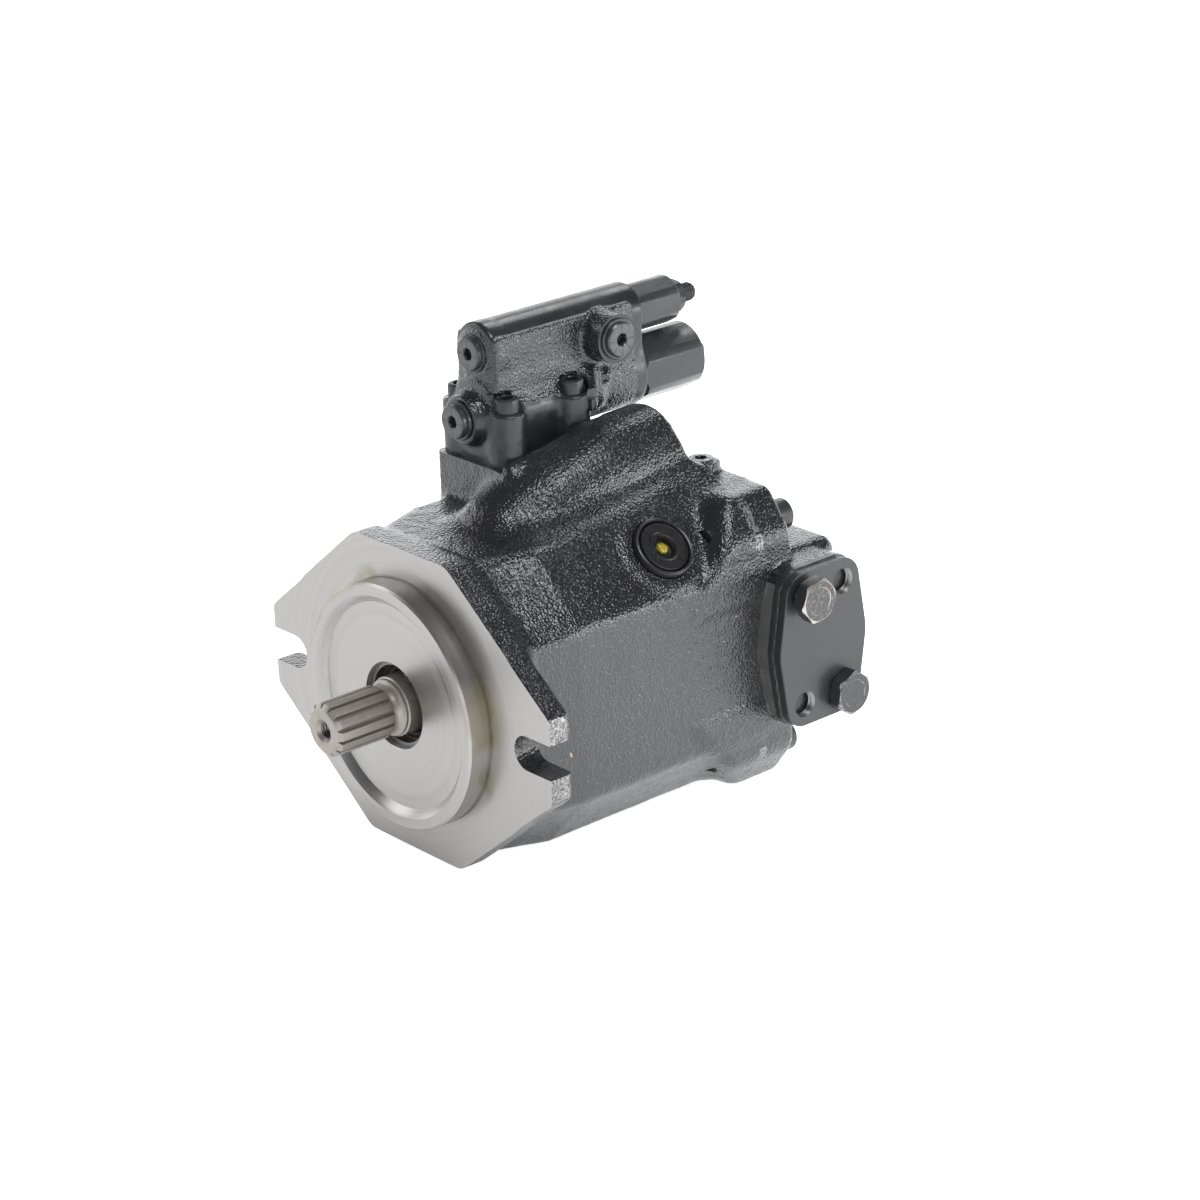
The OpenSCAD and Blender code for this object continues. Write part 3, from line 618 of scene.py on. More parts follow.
SLOT_LOOKS = {
    "black_cast": CAST, "black_smooth": SMOOTH, "black_oxide": OXIDE, "shaft_steel": SHAFT,
    "bearing_steel": BEARING, "ground_steel": BRIGHT, "cast_grey": GREY, "bronze": BRONZE,
    "spring_steel": SPRING, "rubber": RUBBER, "gasket": GASKET, "plug_plastic": PLASTIC,
    "amber_plastic": AMBER,
}
for o in NODES.values():
    for s in o.material_slots:
        s.material = SLOT_LOOKS.get(s.material.name.split(".")[0] if s.material else "", GREY)


# ---------------------------------------------------------------- housing casting
def corner_block(p, sx, sz, end):
    """Full corner round a port plate bolt, with a leaning front face."""
    x, y, z = sx * p[0], p[1], sz * p[2]
    d = smax(smax(x - 62.6, z - 63.2, 3), ((x - 50.5) * 15.7 + (z - 63) * 12) / 19.76, 3)
    d = smax(d, 24 - np.minimum(x, z), 3)
    lean = 113 + 0.36 * ((62.5 - x) + (z - 46.7)) + 0.4 * (x + z - 109.2)
    return smax(smax(d, (lean - y) * 0.82, 6), y - end, 2)


def housing_field(p):
    x, y, z = p
    t = np.clip((y - 11.2) / 26.8, 0, 1)
    body = cut_corner(p, 61 + 1.5 * t, 61.5 + t, 28 + 9 * t, 34 + 2 * t, 2.6)
    body = smax(body, y - (SPLIT + 4), 2)
    body = smax(body, 2 - y, 1)
    flange = cut_corner(p, 86.9, 63.1, 28.3, 17.4, 1.6)
    flange = smax(flange, np.abs(y - 2.6) - 8.6, 3.2)
    d = smin(body, flange, 7)
    # corner bosses at the rear, with a steep sloping front
    for sx in (-1, 1):
        for sz in (-1, 1):
            d = smin(d, corner_block(p, sx, sz, SPLIT + 4), 5)
    # raised casing of the stroking piston, ending in a rounded rear face
    hump = chain(p, [(-4, 43, 49.5, 16), (1, 52, 55.2, 19.6), (2, 73, 62.7, 21.4), (3, 98, 69.4, 22.1),
                     (3.3, 140, 71.6, 21.6)])
    flank = (x - 3) * 0.80 + (z - 72.5) * 0.60 - 20.2
    hump = smax(hump, flank, 3)
    hump = smax(hump, y - 131.5 + np.maximum(z - 74, 0) * 0.12, 3.2)
    # curved shoulder beside the casing, running back into the rear corner
    ledge = chain(p, [(22, 50, 54.5, 8), (27, 66, 57.0, 8), (28, 86, 58.4, 8), (27, 108, 60.4, 8.2),
                      (25, 134, 62.6, 8.2)])
    d = smin(d, ledge, 7)
    d = smin(d, hump, 6)
    # seat of the control valve
    pad = ball_box(p, (-44.4, 55.5, 50), (2, 112, 84), 3.0)
    d = smin(d, pad, 5)
    # lower wall over the return spring
    low = ball_box(p, (-13, 52, -66.5), (13, 132, -55), 4.0)
    d = smin(d, low, 5)
    # swelling round each case port
    for s in (-1, 1):
        u = (s * x - 48) * 0.7071 + (z - 49.9) * 0.7071
        r = np.sqrt(((s * x - 48) * 0.7071 - (z - 49.9) * 0.7071) ** 2 + (y - 93) ** 2)
        d = smin(d, smax(r - 17.2, np.abs(u + 4) - 4.6, 2.2), 3)
    return d


STEP = 1.1
body = surface_nets("housing_body", housing_field, (-88, -6, -68), (88, 141, 95), STEP)


def housing_keep(p):
    near_flange = np.clip((p[:, 1] - 4) / 6, 0.25, 1)
    return near_flange


roughen(body, 0.24, 1.9, housing_keep)

box = block((-100, -30, -100), (100, 0, 100))
boolean(body, box)
boolean(body, block((-100, SPLIT, -100), (100, 160, 110)))
boolean(body, block((-60, 53.5, 80), (-1.7, 113.5, 110)))

pilot = lathe("pilot", [(0, -PILOT_H), (49.9, -PILOT_H), (50.8, -PILOT_H + 0.9), (50.8, -1.4), (50.3, -1.2),
                        (50.3, 6), (0, 6)], ALONG_Y, 180)
boolean(body, pilot, "UNION")
boolean(body, lathe("bore", [
    (0, -20), (46.2, -20), (46.2, -PILOT_H - 0.2), (45, -PILOT_H + 0.6), (43.4, -7.4), (42.6, -6.6), (18.05, -6.6), (17.85, -6.4),
    (17.85, 7.2), (14, 7.2), (14, 11.5), (26, 11.5), (26, 28), (CAVITY_R, 28), (CAVITY_R, 140),
    (0, 140)], ALONG_Y, 180))
boolean(body, tube(18.9, -4.2, -2.6, ALONG_Y))
for s in (-1, 1):
    slot_cut = union([
        tube(7.15, -5, FLANGE_T + 9, at(s * 73, 0, 0, ALONG_Y)),
        block((min(s * 73, s * 95), -5, -7.15), (max(s * 73, s * 95), FLANGE_T + 9, 7.15)),
    ])
    boolean(body, slot_cut)
    boolean(body, block((min(s * 86.9, s * 100), -5, -30), (max(s * 86.9, s * 100), 20, 30)))
    # curved supports of the cradle shells
    seat = block((s * 35.5 - 8.3, 26, -37.5), (s * 35.5 + 8.3, 42, 37.5))
    boolean(seat, tube(46.5, -60, 60, at(0, TILT_Y, 0, ALONG_X), 128))
    boolean(body, seat, "UNION")
    swell = tube(46.5, s * 35.5 - 8.5, s * 35.5 + 8.5, at(0, TILT_Y, 0, ALONG_X), 128)
    boolean(swell, block((-60, TILT_Y - 60, -40), (60, TILT_Y - 10, 40)), "INTERSECT")
    boolean(body, swell)
    # case port and its spot face
    boolean(body, union([tube(9, -30, 10, slant(s)), tube(13.4, 0.0, 4.4, slant(s), 96)]))
    boolean(body, tube(3, 128, 140, at(s * 56, 0, 0, ALONG_Y), 32))
    for j in (-1, 1):
        boolean(body, tube(4, 114, 140, at(s * BOLT[0], 0, j * BOLT[1], ALONG_Y), 32))
boolean(body, union([tube(14.5, -16, 22, stroke()), tube(13.1, 0, 66, stroke())]))
boolean(body, block((-9, 28, -59), (9, 64, -29)))
boolean(body, tube(8.3, 60, 128, at(0, 0, -50.5, ALONG_Y), 48))
for dx in SCREW_X:
    for y in SCREW_Y:
        boolean(body, tube(3, 73.4, 83.4, at(VALVE_X + dx, y, 0), 24))
for y in (74, 82, 90):
    boolean(body, tube(2.5, 66, 82, at(VALVE_X, y, 0), 24))


def housing_rule(c, n):
    r = np.hypot(c[:, 0], c[:, 2])
    y = c[:, 1]
    index = np.zeros(len(c))
    front = (y < 0.03) | ((r < 50.85) & (y < 0.4)) | ((r < 46.5) & (y < 11.6))
    core = np.maximum(np.abs(c[:, 0]), np.abs(c[:, 2])) < 58
    inside = ((r < CAVITY_R + 0.1) & (y > 7) & (np.abs(c[:, 2]) < 50.5)) | ((y > SPLIT - 0.05) & (n[:, 1] > 0.9) & core)
    across = (c[:, 2] - (STROKE_O.z + (y - STROKE_O.y) * 0.295)) * math.cos(STROKE_A)
    inside |= (np.hypot(c[:, 0] - 3, across) < 14.7) & (y > 44) & (y < 128)
    index[inside] = 2
    index[front] = 1
    ears = (np.abs(c[:, 0]) > 86.6) & (y > 0.03) & (y < 10)
    index[ears] = 3
    return index


paint(body, [CAST, MACHINED, GREY, SILVER], housing_rule)
settle(body, "housing_casting", "casing", ["housing"], 30)


# ---------------------------------------------------------------- port plate casting
PRESS, SUCT = (47.6, 22.2), (58.7, 30.2)


def cover_outline(long, short, corner, mid, n=20):
    """Hull of four corner circles and a middle circle, as points (z, y) about the port centre."""
    pts = []
    for cz, cy, r in [(i * long / 2, j * short / 2, corner) for i in (-1, 1) for j in (-1, 1)] + [(0, 0, mid)]:
        m = n * 4 if r == mid else n * 2
        pts += [(cz + r * math.cos(2 * math.pi * k / m), cy + r * math.sin(2 * math.pi * k / m)) for k in range(m)]
    pts.sort()
    chains = []
    for run in (pts, pts[::-1]):
        hull = []
        for q in run:
            while len(hull) > 1 and (
                    (hull[-1][0] - hull[-2][0]) * (q[1] - hull[-2][1])
                    - (hull[-1][1] - hull[-2][1]) * (q[0] - hull[-2][0])) <= 1e-9:
                hull.pop()
            hull.append(q)
        chains += hull[:-1]
    return chains


def cover_shape(p, long, short, corner, mid):
    """Distance to the prism along X with a cover's outline."""
    pts = cover_outline(long, short, corner, mid, 6)
    d = None
    for (z0, y0), (z1, y1) in zip(pts, pts[1:] + pts[:1]):
        length = math.hypot(z1 - z0, y1 - y0)
        e = ((p[2] - z0) * (y1 - y0) - (p[1] - PORT_Y - y0) * (z1 - z0)) / length
        d = e if d is None else np.maximum(d, e)
    return d


def plate_field(p):
    x, y, z = p
    d = cut_corner(p, 62.5, 62.5, 37, 36, 3.0)
    d = smax(d, np.abs(y - 143) - 8, 2.2)
    for sx in (-1, 1):
        for sz in (-1, 1):
            d = smin(d, smax(corner_block(p, sx, sz, 151), 130 - y, 1), 3)
    d = smin(d, rod(p, 1, (0, 0), 145, 179, 47, 6), 6)
    blocks = ball_box(p, (-60, 137.5, -36), (60, 180.6, 36), 6)
    d = smin(d, blocks, 5)
    for s, (long, short), mid in ((1, PRESS, 24.4), (-1, SUCT, 29)):
        pad = smax(cover_shape(p, long, short, 10.3, mid + 0.7), np.abs(s * x - 54) - 18, 0.6)
        d = smin(d, pad, 0.8)
    return smin(d, rod(p, 2, (18, 143.9), 52, 68.0, 7.8, 1.4), 2.5)


plate = surface_nets("plate_body", plate_field, (-74, 133, -66), (74, 183, 68), STEP)
roughen(plate, 0.22, 1.9)
boolean(plate, block((-100, 120, -100), (100, SPLIT + 0.25, 100)))
boolean(plate, block((69, 120, -100), (100, 200, 100)))
boolean(plate, block((-100, 120, -100), (-69, 200, 100)))
boolean(plate, block((5, 130, 68.0), (30, 155, 80)))
boolean(plate, tube(CAVITY_R - 0.05, 131, 137, ALONG_Y, 160), "UNION")
boolean(plate, lathe("t", [(47.5, 132.4), (52, 132.4), (52, 135.2), (47.5, 135.2)], ALONG_Y, 128))
boolean(plate, union([tube(18.5, 125, 150, ALONG_Y, 96), tube(12, 149, 190, ALONG_Y, 64)]))
boolean(plate, tube(1.5, 125, 134, at(0, 0, 36.5, ALONG_Y), 24))
for s in (-1, 1):
    arc = [math.radians(-52 + 104 * i / 24) for i in range(25)]
    kidney = [(s * 32.8 * math.cos(a), 32.8 * math.sin(a)) for a in arc]
    kidney += [(s * 25.2 * math.cos(a), 25.2 * math.sin(a)) for a in reversed(arc)]
    boolean(plate, prism("t", kidney, 125, 141, ALONG_Y))
    boolean(plate, tube(3, 130, 145, at(s * 56, 0, 0, ALONG_Y), 32))
    for j in (-1, 1):
        boolean(plate, union([
            tube(4.5, 130, 190, at(s * BOLT[0], 0, j * BOLT[1], ALONG_Y), 32),
            tube(8.6, 151, 190, at(s * BOLT[0], 0, j * BOLT[1], ALONG_Y), 48),
        ]))
boolean(plate, union([tube(8.2, 136, PORT_Y, at(29, 0, 0, ALONG_Y), 48),
                      tube(9.5, 29, 75, at(0, PORT_Y, 0, ALONG_X), 64)]))
boolean(plate, union([tube(10, 136, PORT_Y, at(-31, 0, 0, ALONG_Y), 48),
                      tube(16, -75, -31, at(0, PORT_Y, 0, ALONG_X), 80)]))


def thread_cut(r, a, b, m, pitch=1.5, depth=0.55):
    """Hole with turned grooves standing for its thread; opens at height b."""
    profile = [(0, a), (r, a)]
    n = int((b - a) / pitch)
    for i in range(n):
        h = a + i * pitch
        profile += [(r, h + 0.15), (r + depth, h + pitch / 2)]
    profile += [(r, b - 0.9), (r + depth + 0.3, b), (r + depth + 0.3, b + 3), (0, b + 3)]
    return lathe("t", profile, m, 36)


for side, (long, short), face in ((1, PRESS, 69), (-1, SUCT, 69)):
    turn = ALONG_X if side > 0 else Matrix.Rotation(-math.pi / 2, 4, "Y")
    for i in (-1, 1):
        for j in (-1, 1):
            place = at(0, PORT_Y + i * short / 2, j * long / 2, turn)
            if i * j > 0:
                boolean(plate, thread_cut(4.25, 49, 69, place))
            else:
                boolean(plate, tube(4.6, 49, 75, place, 36))
boolean(plate, tube(3.5, 50, 70, at(18, 143.5, 0), 32))


def plate_rule(c, n):
    r = np.hypot(c[:, 0], c[:, 2])
    index = np.zeros(len(c))
    core = np.maximum(np.abs(c[:, 0]), np.abs(c[:, 2])) < 58
    index[((c[:, 1] < SPLIT + 0.3) & (n[:, 1] < -0.9) & core) | ((r < 33) & (c[:, 1] < 178)) | (c[:, 1] < SPLIT)] = 1
    index[(np.abs(c[:, 0]) > 68.9)] = 2
    rim = np.abs(c[:, 0]) < 68.8
    for long, short, s in ((*PRESS, 1), (*SUCT, -1)):
        for i in (-1, 1):
            near = np.hypot(c[:, 1] - PORT_Y - i * short / 2, c[:, 2] - i * long / 2) < 5.4
            index[near & rim & (s * c[:, 0] > 48)] = 3
    return index


paint(plate, [CAST, GREY, SMOOTH, THREAD], plate_rule)
settle(plate, "port_plate_casting", "casing", ["port_plate"], 30)


# ---------------------------------------------------------------- control valve body
def valve_field(p):
    x, y, z = p
    u = x - VALVE_X
    low = ball_box([u, y, z], (-14.2, 58.5, 76), (14.2, 106, 101.0), 2.6)
    for dx in SCREW_X:
        for yy in SCREW_Y:
            low = smin(low, rod([u, y, z], 2, (dx, yy), 76, 102.0, 7.3, 1.6), 3)
    bar = ball_box([u, y, z], (-11.9, 62.6, 109), (11.9, 135, 131.0), 0.7)
    bar = smin(bar, ball_box([u, y, z], (-11.2, 62.6, 100), (11.2, 141.5, 124.0), 0.9), 0.5)
    neck = ball_box([u, y, z], (-9.6, 63, 92), (9.6, 135, 114), 2)
    # sloping web from the upper bar down to the front of the block
    web = smax(np.abs(u) - 9.6, (60.2 - y) + (z - 101) * 0.18, 3)
    web = smax(web, z - 112, 3)
    web = smax(smax(web, 96 - z, 3), y - 80, 3)
    top = rod([u, y, z], 1, (0, UP_Z), 62.6, 141.5, 12.0, 0.8)
    collar = rod([u, y, z], 1, (0, UP_Z - 0.4), 61.0, 66, 9.6, 1.4)
    collar = smin(collar, rod([u, y, z], 1, (0, UP_Z - 1), 63.0, 70, 12.4, 2.4), 2)
    under = rod([u, y, z], 1, (0, LO_Z), 60, 141.5, 14.3, 1.6)
    lower_boss = rod([u, y, z], 1, (0, LO_Z - 0.2), 52.6, 66, 10.3, 1.6)
    side = rod([u, y, z], 0, (118, 121.3), 10, 23, 10.3, 1.3)
    d = smin(bar, top, 0.3)
    d = smin(d, collar, 2)
    d = smin(d, neck, 6)
    d = smin(d, smin(low, under, 4), 4)
    d = smin(d, web, 3)
    d = smin(d, lower_boss, 4)
    d = smin(d, side, 2.5)
    # curved wall that stands behind the rear screw
    ring = np.sqrt((u - SCREW_X[1]) ** 2 + (y - SCREW_Y[1]) ** 2)
    wall = smax(smax(np.abs(ring - 8.6) - 1.9, z - 111.5 + (u - 8) * 0.55, 1.5), 95 - z, 1)
    wall = smax(smax(wall, 101 - y, 1), 6 - u, 1)
    d = smin(d, wall, 1.6)
    # shoulder between the lower bore and the side boss, with a round pip
    web = ball_box([u, y, z], (4, 106, 92), (15.0, 116, 109), 3)
    pip = np.sqrt((u - 13.5) ** 2 + (y - 117.5) ** 2 + (z - 104.5) ** 2) - 3.4
    return smin(smin(d, web, 5), pip, 1.5)


VSTEP = 0.85
valve = surface_nets("valve", valve_field, (-50, 48, 74), (2, 144, 138), VSTEP)


def valve_keep(p):
    u, y, z = p[:, 0] - VALVE_X, p[:, 1], p[:, 2]
    smooth = ((z > UP_Z) & (np.hypot(u, z - UP_Z) < 12.6) & (np.abs(u) < 11)) | (y > 135.5)
    return np.where(smooth, 0.1, 1.0)


roughen(valve, 0.15, 1.5, valve_keep)
boolean(valve, block((-60, 40, 60), (10, 150, 80.02)))
boolean(valve, block((-60, 141, 60), (10, 160, 150)))
boolean(valve, block((-2, 100, 100), (10, 140, 140)))
boolean(valve, union([tube(4.5, 50, 120, at(VALVE_X, 0, UP_Z, ALONG_Y), 48), tube(8.5, 118, 150, at(VALVE_X, 0, UP_Z, ALONG_Y), 64),
                      tube(7.2, 55, 64, at(VALVE_X, 0, UP_Z, ALONG_Y), 64)]))
boolean(valve, union([tube(5, 50, 120, at(VALVE_X, 0, LO_Z, ALONG_Y), 48), tube(10, 118, 150, at(VALVE_X, 0, LO_Z, ALONG_Y), 64),
                      tube(7.2, 45, 55, at(VALVE_X, 0, LO_Z, ALONG_Y), 64)]))
for dx in SCREW_X:
    for y in SCREW_Y:
        place = at(VALVE_X + dx, y, 0)
        boolean(valve, union([tube(3.3, 70, 110, place, 32), tube(4.95, 101.4, 109.5, place, 48)]))
boolean(valve, tube(5.5, -24, 2, at(0, 118, 121.5, ALONG_X), 48))
for y in (74, 82, 90):
    boolean(valve, union([tube(2.2, 79, 96, at(VALVE_X, y, 0), 24), tube(3.75, 79, 81.6, at(VALVE_X, y, 0), 32)]))


def valve_rule(c, n):
    u, y, z = c[:, 0] - VALVE_X, c[:, 1], c[:, 2]
    index = np.zeros(len(c))
    index[(z > UP_Z) & (np.hypot(u, z - UP_Z) < 12.4) & (np.hypot(u, z - UP_Z) > 9.5) & (np.abs(u) < 10.9) & (y > 62)] = 1
    index[(y > 135.2) | (z < 80.1) | (c[:, 0] > -2.2)] = 1
    index[(z < 102.5) & (y < 107)] = 1
    rear = (y > 117) & (y < 140)
    index[(np.hypot(u, z - UP_Z) < np.where(rear, 8.6, 5.2)) & (y > 50)] = 2
    index[(np.hypot(u, z - LO_Z) < np.where(rear, 10.1, 5.6)) & (y > 50)] = 2
    return index


paint(valve, [CAST, SMOOTH, GREY], valve_rule)
settle(valve, "valve_casting", "casing", ["valve_body"], 34)


# ---------------------------------------------------------------- shaft, seal, retaining clip
BACK_Y = Matrix.Rotation(math.pi / 2, 4, "X")
BACK_X = Matrix.Rotation(-math.pi / 2, 4, "Y")


def spline_outline(n, tip, root, land=8.3):
    """Closed outline of n straight teeth with rounded roots; land is the half angle at the tip."""
    half = 180 / n
    ramp = [(-half, 0), (-half + 1.2, 0.0), (-half + 2.4, 0.12), (-land - 1.2, 0.82), (-land - 0.5, 0.96), (-land, 1)]
    ramp += [(0, 1)] + [(-a, f) for a, f in reversed(ramp[1:])]
    out = []
    for i in range(n):
        for a, f in ramp:
            r, t = root + (tip - root) * f, math.radians(i * 360 / n + a)
            out.append((r * math.cos(t), r * math.sin(t)))
    return out


def screw_thread(name, r, depth, pitch, a, b, m, n=40):
    """Round bar with a real helical thread from height a to b, faded out at both ends."""
    bm = bmesh.new()
    rows = max(int((b - a) / pitch * 6), 4)
    rings = []
    for k in range(rows + 1):
        h = a + (b - a) * k / rows
        fade = min(1, (h - a) / pitch / 0.8, (b - h) / pitch / 0.8)
        ring = []
        for i in range(n):
            phase = (h / pitch - i / n) % 1
            q = r - depth * (1 - fade * min(1, abs(2 * phase - 1) * 1.25))
            ring.append(bm.verts.new((q * math.cos(2 * math.pi * i / n), q * math.sin(2 * math.pi * i / n), h)))
        rings.append(ring)
    for lower, upper in zip(rings, rings[1:]):
        for i in range(n):
            j = (i + 1) % n
            bm.faces.new((lower[i], lower[j], upper[j], upper[i]))
    bm.faces.new(rings[0][::-1])
    bm.faces.new(rings[-1])
    bm.transform(Matrix.Scale(MM, 4) @ m)
    return from_bm(name, bm)


def hexagon(flats, a, b, m, corner, lean=0.45, turn=0.0):
    """Hexagon bar from a to b with its corners turned to a cone at both ends."""
    bar = prism("hex", ngon(flats, 6, turn), a, b, m)
    rise = (flats / math.cos(math.pi / 6) / 2 - flats / 2 + 0.35) * lean
    r = flats / 2 - 0.35
    big = min(corner, flats / 2 / math.cos(math.pi / 6) + 0.2)
    cone = [(0, a), (r, a), (big, a + rise + 0.1), (big, b - rise - 0.1), (r, b), (0, b)]
    return boolean(bar, lathe("cone", cone, m, 120), "INTERSECT")


def socket(flats, floor, top, m, turn=0.2):
    """Cutter for a hexagon socket with a drilled point and a small lead-in."""
    bar = prism("socket", ngon(flats, 6, turn), floor, top + 1, m)
    boolean(bar, lathe("point", [(0, floor - flats * 0.2), (flats * 0.47, floor + 0.02), (0, floor + 0.1)], m, 32), "UNION")
    lead = [(0, top - 0.5), (flats * 0.5, top - 0.5), (flats * 0.5 + 0.9, top + 0.4), (0, top + 0.4)]
    return boolean(bar, lathe("lead", lead, m, 48), "UNION")


def soft_edges(o, width=0.25, angle=40):
    mod = o.modifiers.new("edge", "BEVEL")
    mod.width, mod.segments, mod.limit_method = width * MM, 2, "ANGLE"
    mod.angle_limit = math.radians(angle)
    mesh = bpy.data.meshes.new_from_object(o.evaluated_get(bpy.context.evaluated_depsgraph_get()))
    o.modifiers.clear()
    o.data = mesh
    return o


TIP = SHAFT_LO.y
shaft = prism("shaft", spline_outline(13, 10.9, 9.15), TIP, -12, ALONG_Y)
boolean(shaft, lathe("ends", [
    (0, TIP), (8.7, TIP), (9.3, TIP + 0.5), (9.5, TIP + 0.7), (10.9, TIP + 1.7), (10.95, TIP + 2.2), (10.95, -15.4),
    (10.4, -14.2), (9.2, -12.9), (9.2, -12), (0, -12)], ALONG_Y, 156), "INTERSECT")
boolean(shaft, lathe("journals", [
    (0, -13.4), (9.35, -13.4), (9.4, -12.4), (9.7, -11.4), (10.25, -10.5), (11.0, -9.85), (11.4, -9.7), (11.6, -9.4),
    (11.6, -8.3), (11.85, -8.1), (12.2, -7.8), (12.2, 11.8), (12.5, 12), (12.5, 28), (14.3, 28.1), (14.6, 28.4),
    (14.6, 30.7), (14.3, 31), (11.4, 31.5), (11.4, 50), (12, 50.6), (12, 82), (11.6, 82.4), (11.6, 116), (10.4, 118), (10, 130.8),
    (10, 147.2), (9.4, 148), (0, 148)], ALONG_Y, 128), "UNION")
boolean(shaft, prism("inner spline", spline_outline(16, 13, 11.5, 5.6), 84, 96, ALONG_Y), "UNION")
boolean(shaft, union([
    screw_thread("shaft hole", 3.85, 0.55, 1.25, TIP + 1.2, -20, ALONG_Y, 48),
    lathe("countersink", [(0, TIP - 1), (5.0, TIP - 1), (4.8, TIP), (3.5, TIP + 1.6), (0, TIP + 1.6)], ALONG_Y, 64)]))


def shaft_rule(c, n):
    r = np.hypot(c[:, 0], c[:, 2])
    return np.where((c[:, 1] < -15) & (r < 10.6) & (r > 8.95) & (np.abs(n[:, 1]) < 0.3), 1,
                    np.where((c[:, 1] < -19.5) & (r < 4.2) & (c[:, 1] > TIP + 1.0), 2, 0))


paint(shaft, [SHAFT, SHAFT_FLANK, THREAD], shaft_rule)
stand_in(shaft, "drive_shaft", 30)

seal = lathe("seal", [
    (12.25, 3.4), (12.5, 2.4), (12.9, 1.5), (13.5, 0.9), (14.3, 0.8), (14.6, 1.2), (15.2, 1.2), (15.5, 0.7),
    (16.3, 0.7), (16.6, 1.1), (17.0, 1.1), (17.3, 0.4), (17.7, 0.25), (17.8, 0.5), (17.8, 6.8), (17.6, 7), (14.4, 7),
    (14.4, 5.6), (16, 5.4), (16, 2.6), (14, 2.8), (12.6, 4.4)], ALONG_Y, 120)
paint(seal, [RUBBER, SEAL_CASE], lambda c, n: (np.hypot(c[:, 0], c[:, 2]) > 15.4).astype(int))
stand_in(seal, "shaft_seal", 40)

CLIP_TURN = Matrix.Rotation(math.radians(42), 4, "Y")
clip = lathe("clip", [(16.1, -4.1), (18.7, -4.1), (18.8, -4.0), (18.8, -2.8), (18.7, -2.7), (16.1, -2.7), (16, -2.8),
                      (16, -4.0)], CLIP_TURN @ ALONG_Y, 120)
for s in (-1, 1):
    boolean(clip, tube(2.3, -4.12, -2.68, CLIP_TURN @ at(s * 4, 0, 14.6, ALONG_Y), 40, c=0.15), "UNION")
boolean(clip, block((-1.6, -6, 8), (1.6, 0, 22), CLIP_TURN))
for s in (-1, 1):
    boolean(clip, lathe("eye", [(0, -6), (1.5, -6), (1.05, -3.9), (1.05, 0), (0, 0)], CLIP_TURN @ at(s * 4, 0, 14.6, ALONG_Y), 32))
paint(clip, [CLIP])
stand_in(clip, "seal_ring_clip", 30)


# ---------------------------------------------------------------- port covers, gaskets and bolts
def cover_set(side, long, short, mid, nodes, lengths, turns):
    """Gasket, cover plate and its two hexagon bolts on one side; the other two holes stay open."""
    # local frame: X along world Z, Y along world Y, height h along side * X
    m = Matrix(((0, 0, side, 0), (0, 1, 0, PORT_Y), (1, 0, 0, 0), (0, 0, 0, 1)))
    places = [(j * long / 2, i * short / 2, i * j) for i in (-1, 1) for j in (-1, 1)]
    gasket = prism("gasket", cover_outline(long, short, 9.9, mid + 0.3), 69.02, 69.98, m)
    boolean(gasket, tube(12, 60, 80, m, 64))
    plate = prism("cover", cover_outline(long, short, 9.6, mid), 70, 75.5, m)
    soft_edges(plate, 0.45)
    for a, b, kind in places:
        here = m @ at(a, b, 0)
        boolean(gasket, tube(5.5, 60, 80, here, 40))
        if kind > 0:
            boolean(plate, thread_cut(4.75, 69.4, 75.6, here, 1.5, 0.65))
        else:
            boolean(plate, lathe("hole", [(0, 60), (5.4, 60), (5.4, 75.1), (5.9, 75.6), (5.9, 80), (0, 80)], here, 48))
    paint(gasket, [GASKET])
    stand_in(gasket, nodes[0], 30)

    def rule(c, n):
        index = (np.abs(n[:, 0]) < 0.5).astype(int)
        for a, b, kind in places:
            near = np.hypot(c[:, 2] - a, c[:, 1] - PORT_Y - b) < 5.55
            index[near & (kind > 0) & (np.abs(n[:, 0]) < 0.9)] = 2
        return index

    paint(plate, [COVER, OXIDE, THREAD], rule)
    stand_in(plate, nodes[1], 12)
    bolts = []
    for (a, b, kind), length, turn in zip([q for q in places if q[2] < 0], lengths, turns):
        here = m @ at(a, b, 0)
        under = 51 + length
        head = hexagon(17, under + 0.25, under + 6.6, here, 9.5, 0.5, turn)
        boolean(head, lathe("washer face", [(0, under), (7.9, under), (8.1, under + 0.15), (8.1, under + 0.5), (0, under + 0.5)], here, 64), "UNION")
        boolean(head, lathe("dish", [(0, under + 6.35), (5.6, under + 6.35), (6.1, under + 6.7), (0, under + 6.7)], here, 64))
        bolts.append(boolean(head, screw_thread("shank", 4.5, 0.45, 1.5, 51, under + 0.1, here, 40), "UNION"))
    return bolts


press_bolts = join("press_bolts", cover_set(1, 47.6, 22.2, 24.4, ("press_gasket", "press_cover"), (27.5, 24.5), (0.35, 0.12)))


def press_bolt_rule(c, n):
    upper = c[:, 2] > 0
    top = (n[:, 0] > 0.95) & (c[:, 0] > 80)
    chamfer = (n[:, 0] > 0.2) & (n[:, 0] < 0.95) & (c[:, 0] > 78)
    return np.where(top, np.where(upper, 1, 3), np.where(chamfer, np.where(upper, 2, 4), 0))


paint(press_bolts, [OXIDE, SCUFFED, BARE, SCUFFED_LIGHT, RUBBED], press_bolt_rule)
stand_in(press_bolts, "press_cover_bolts", 30)
suct_bolts = join("suct_bolts", cover_set(-1, 58.7, 30.2, 29, ("suct_gasket", "suct_cover"), (24.5, 24.5), (0.2, 0.5)))
paint(suct_bolts, [OXIDE, SCUFFED], lambda c, n: ((n[:, 0] < -0.95) & (c[:, 0] < -80)).astype(int))
stand_in(suct_bolts, "suct_cover_bolts", 30)


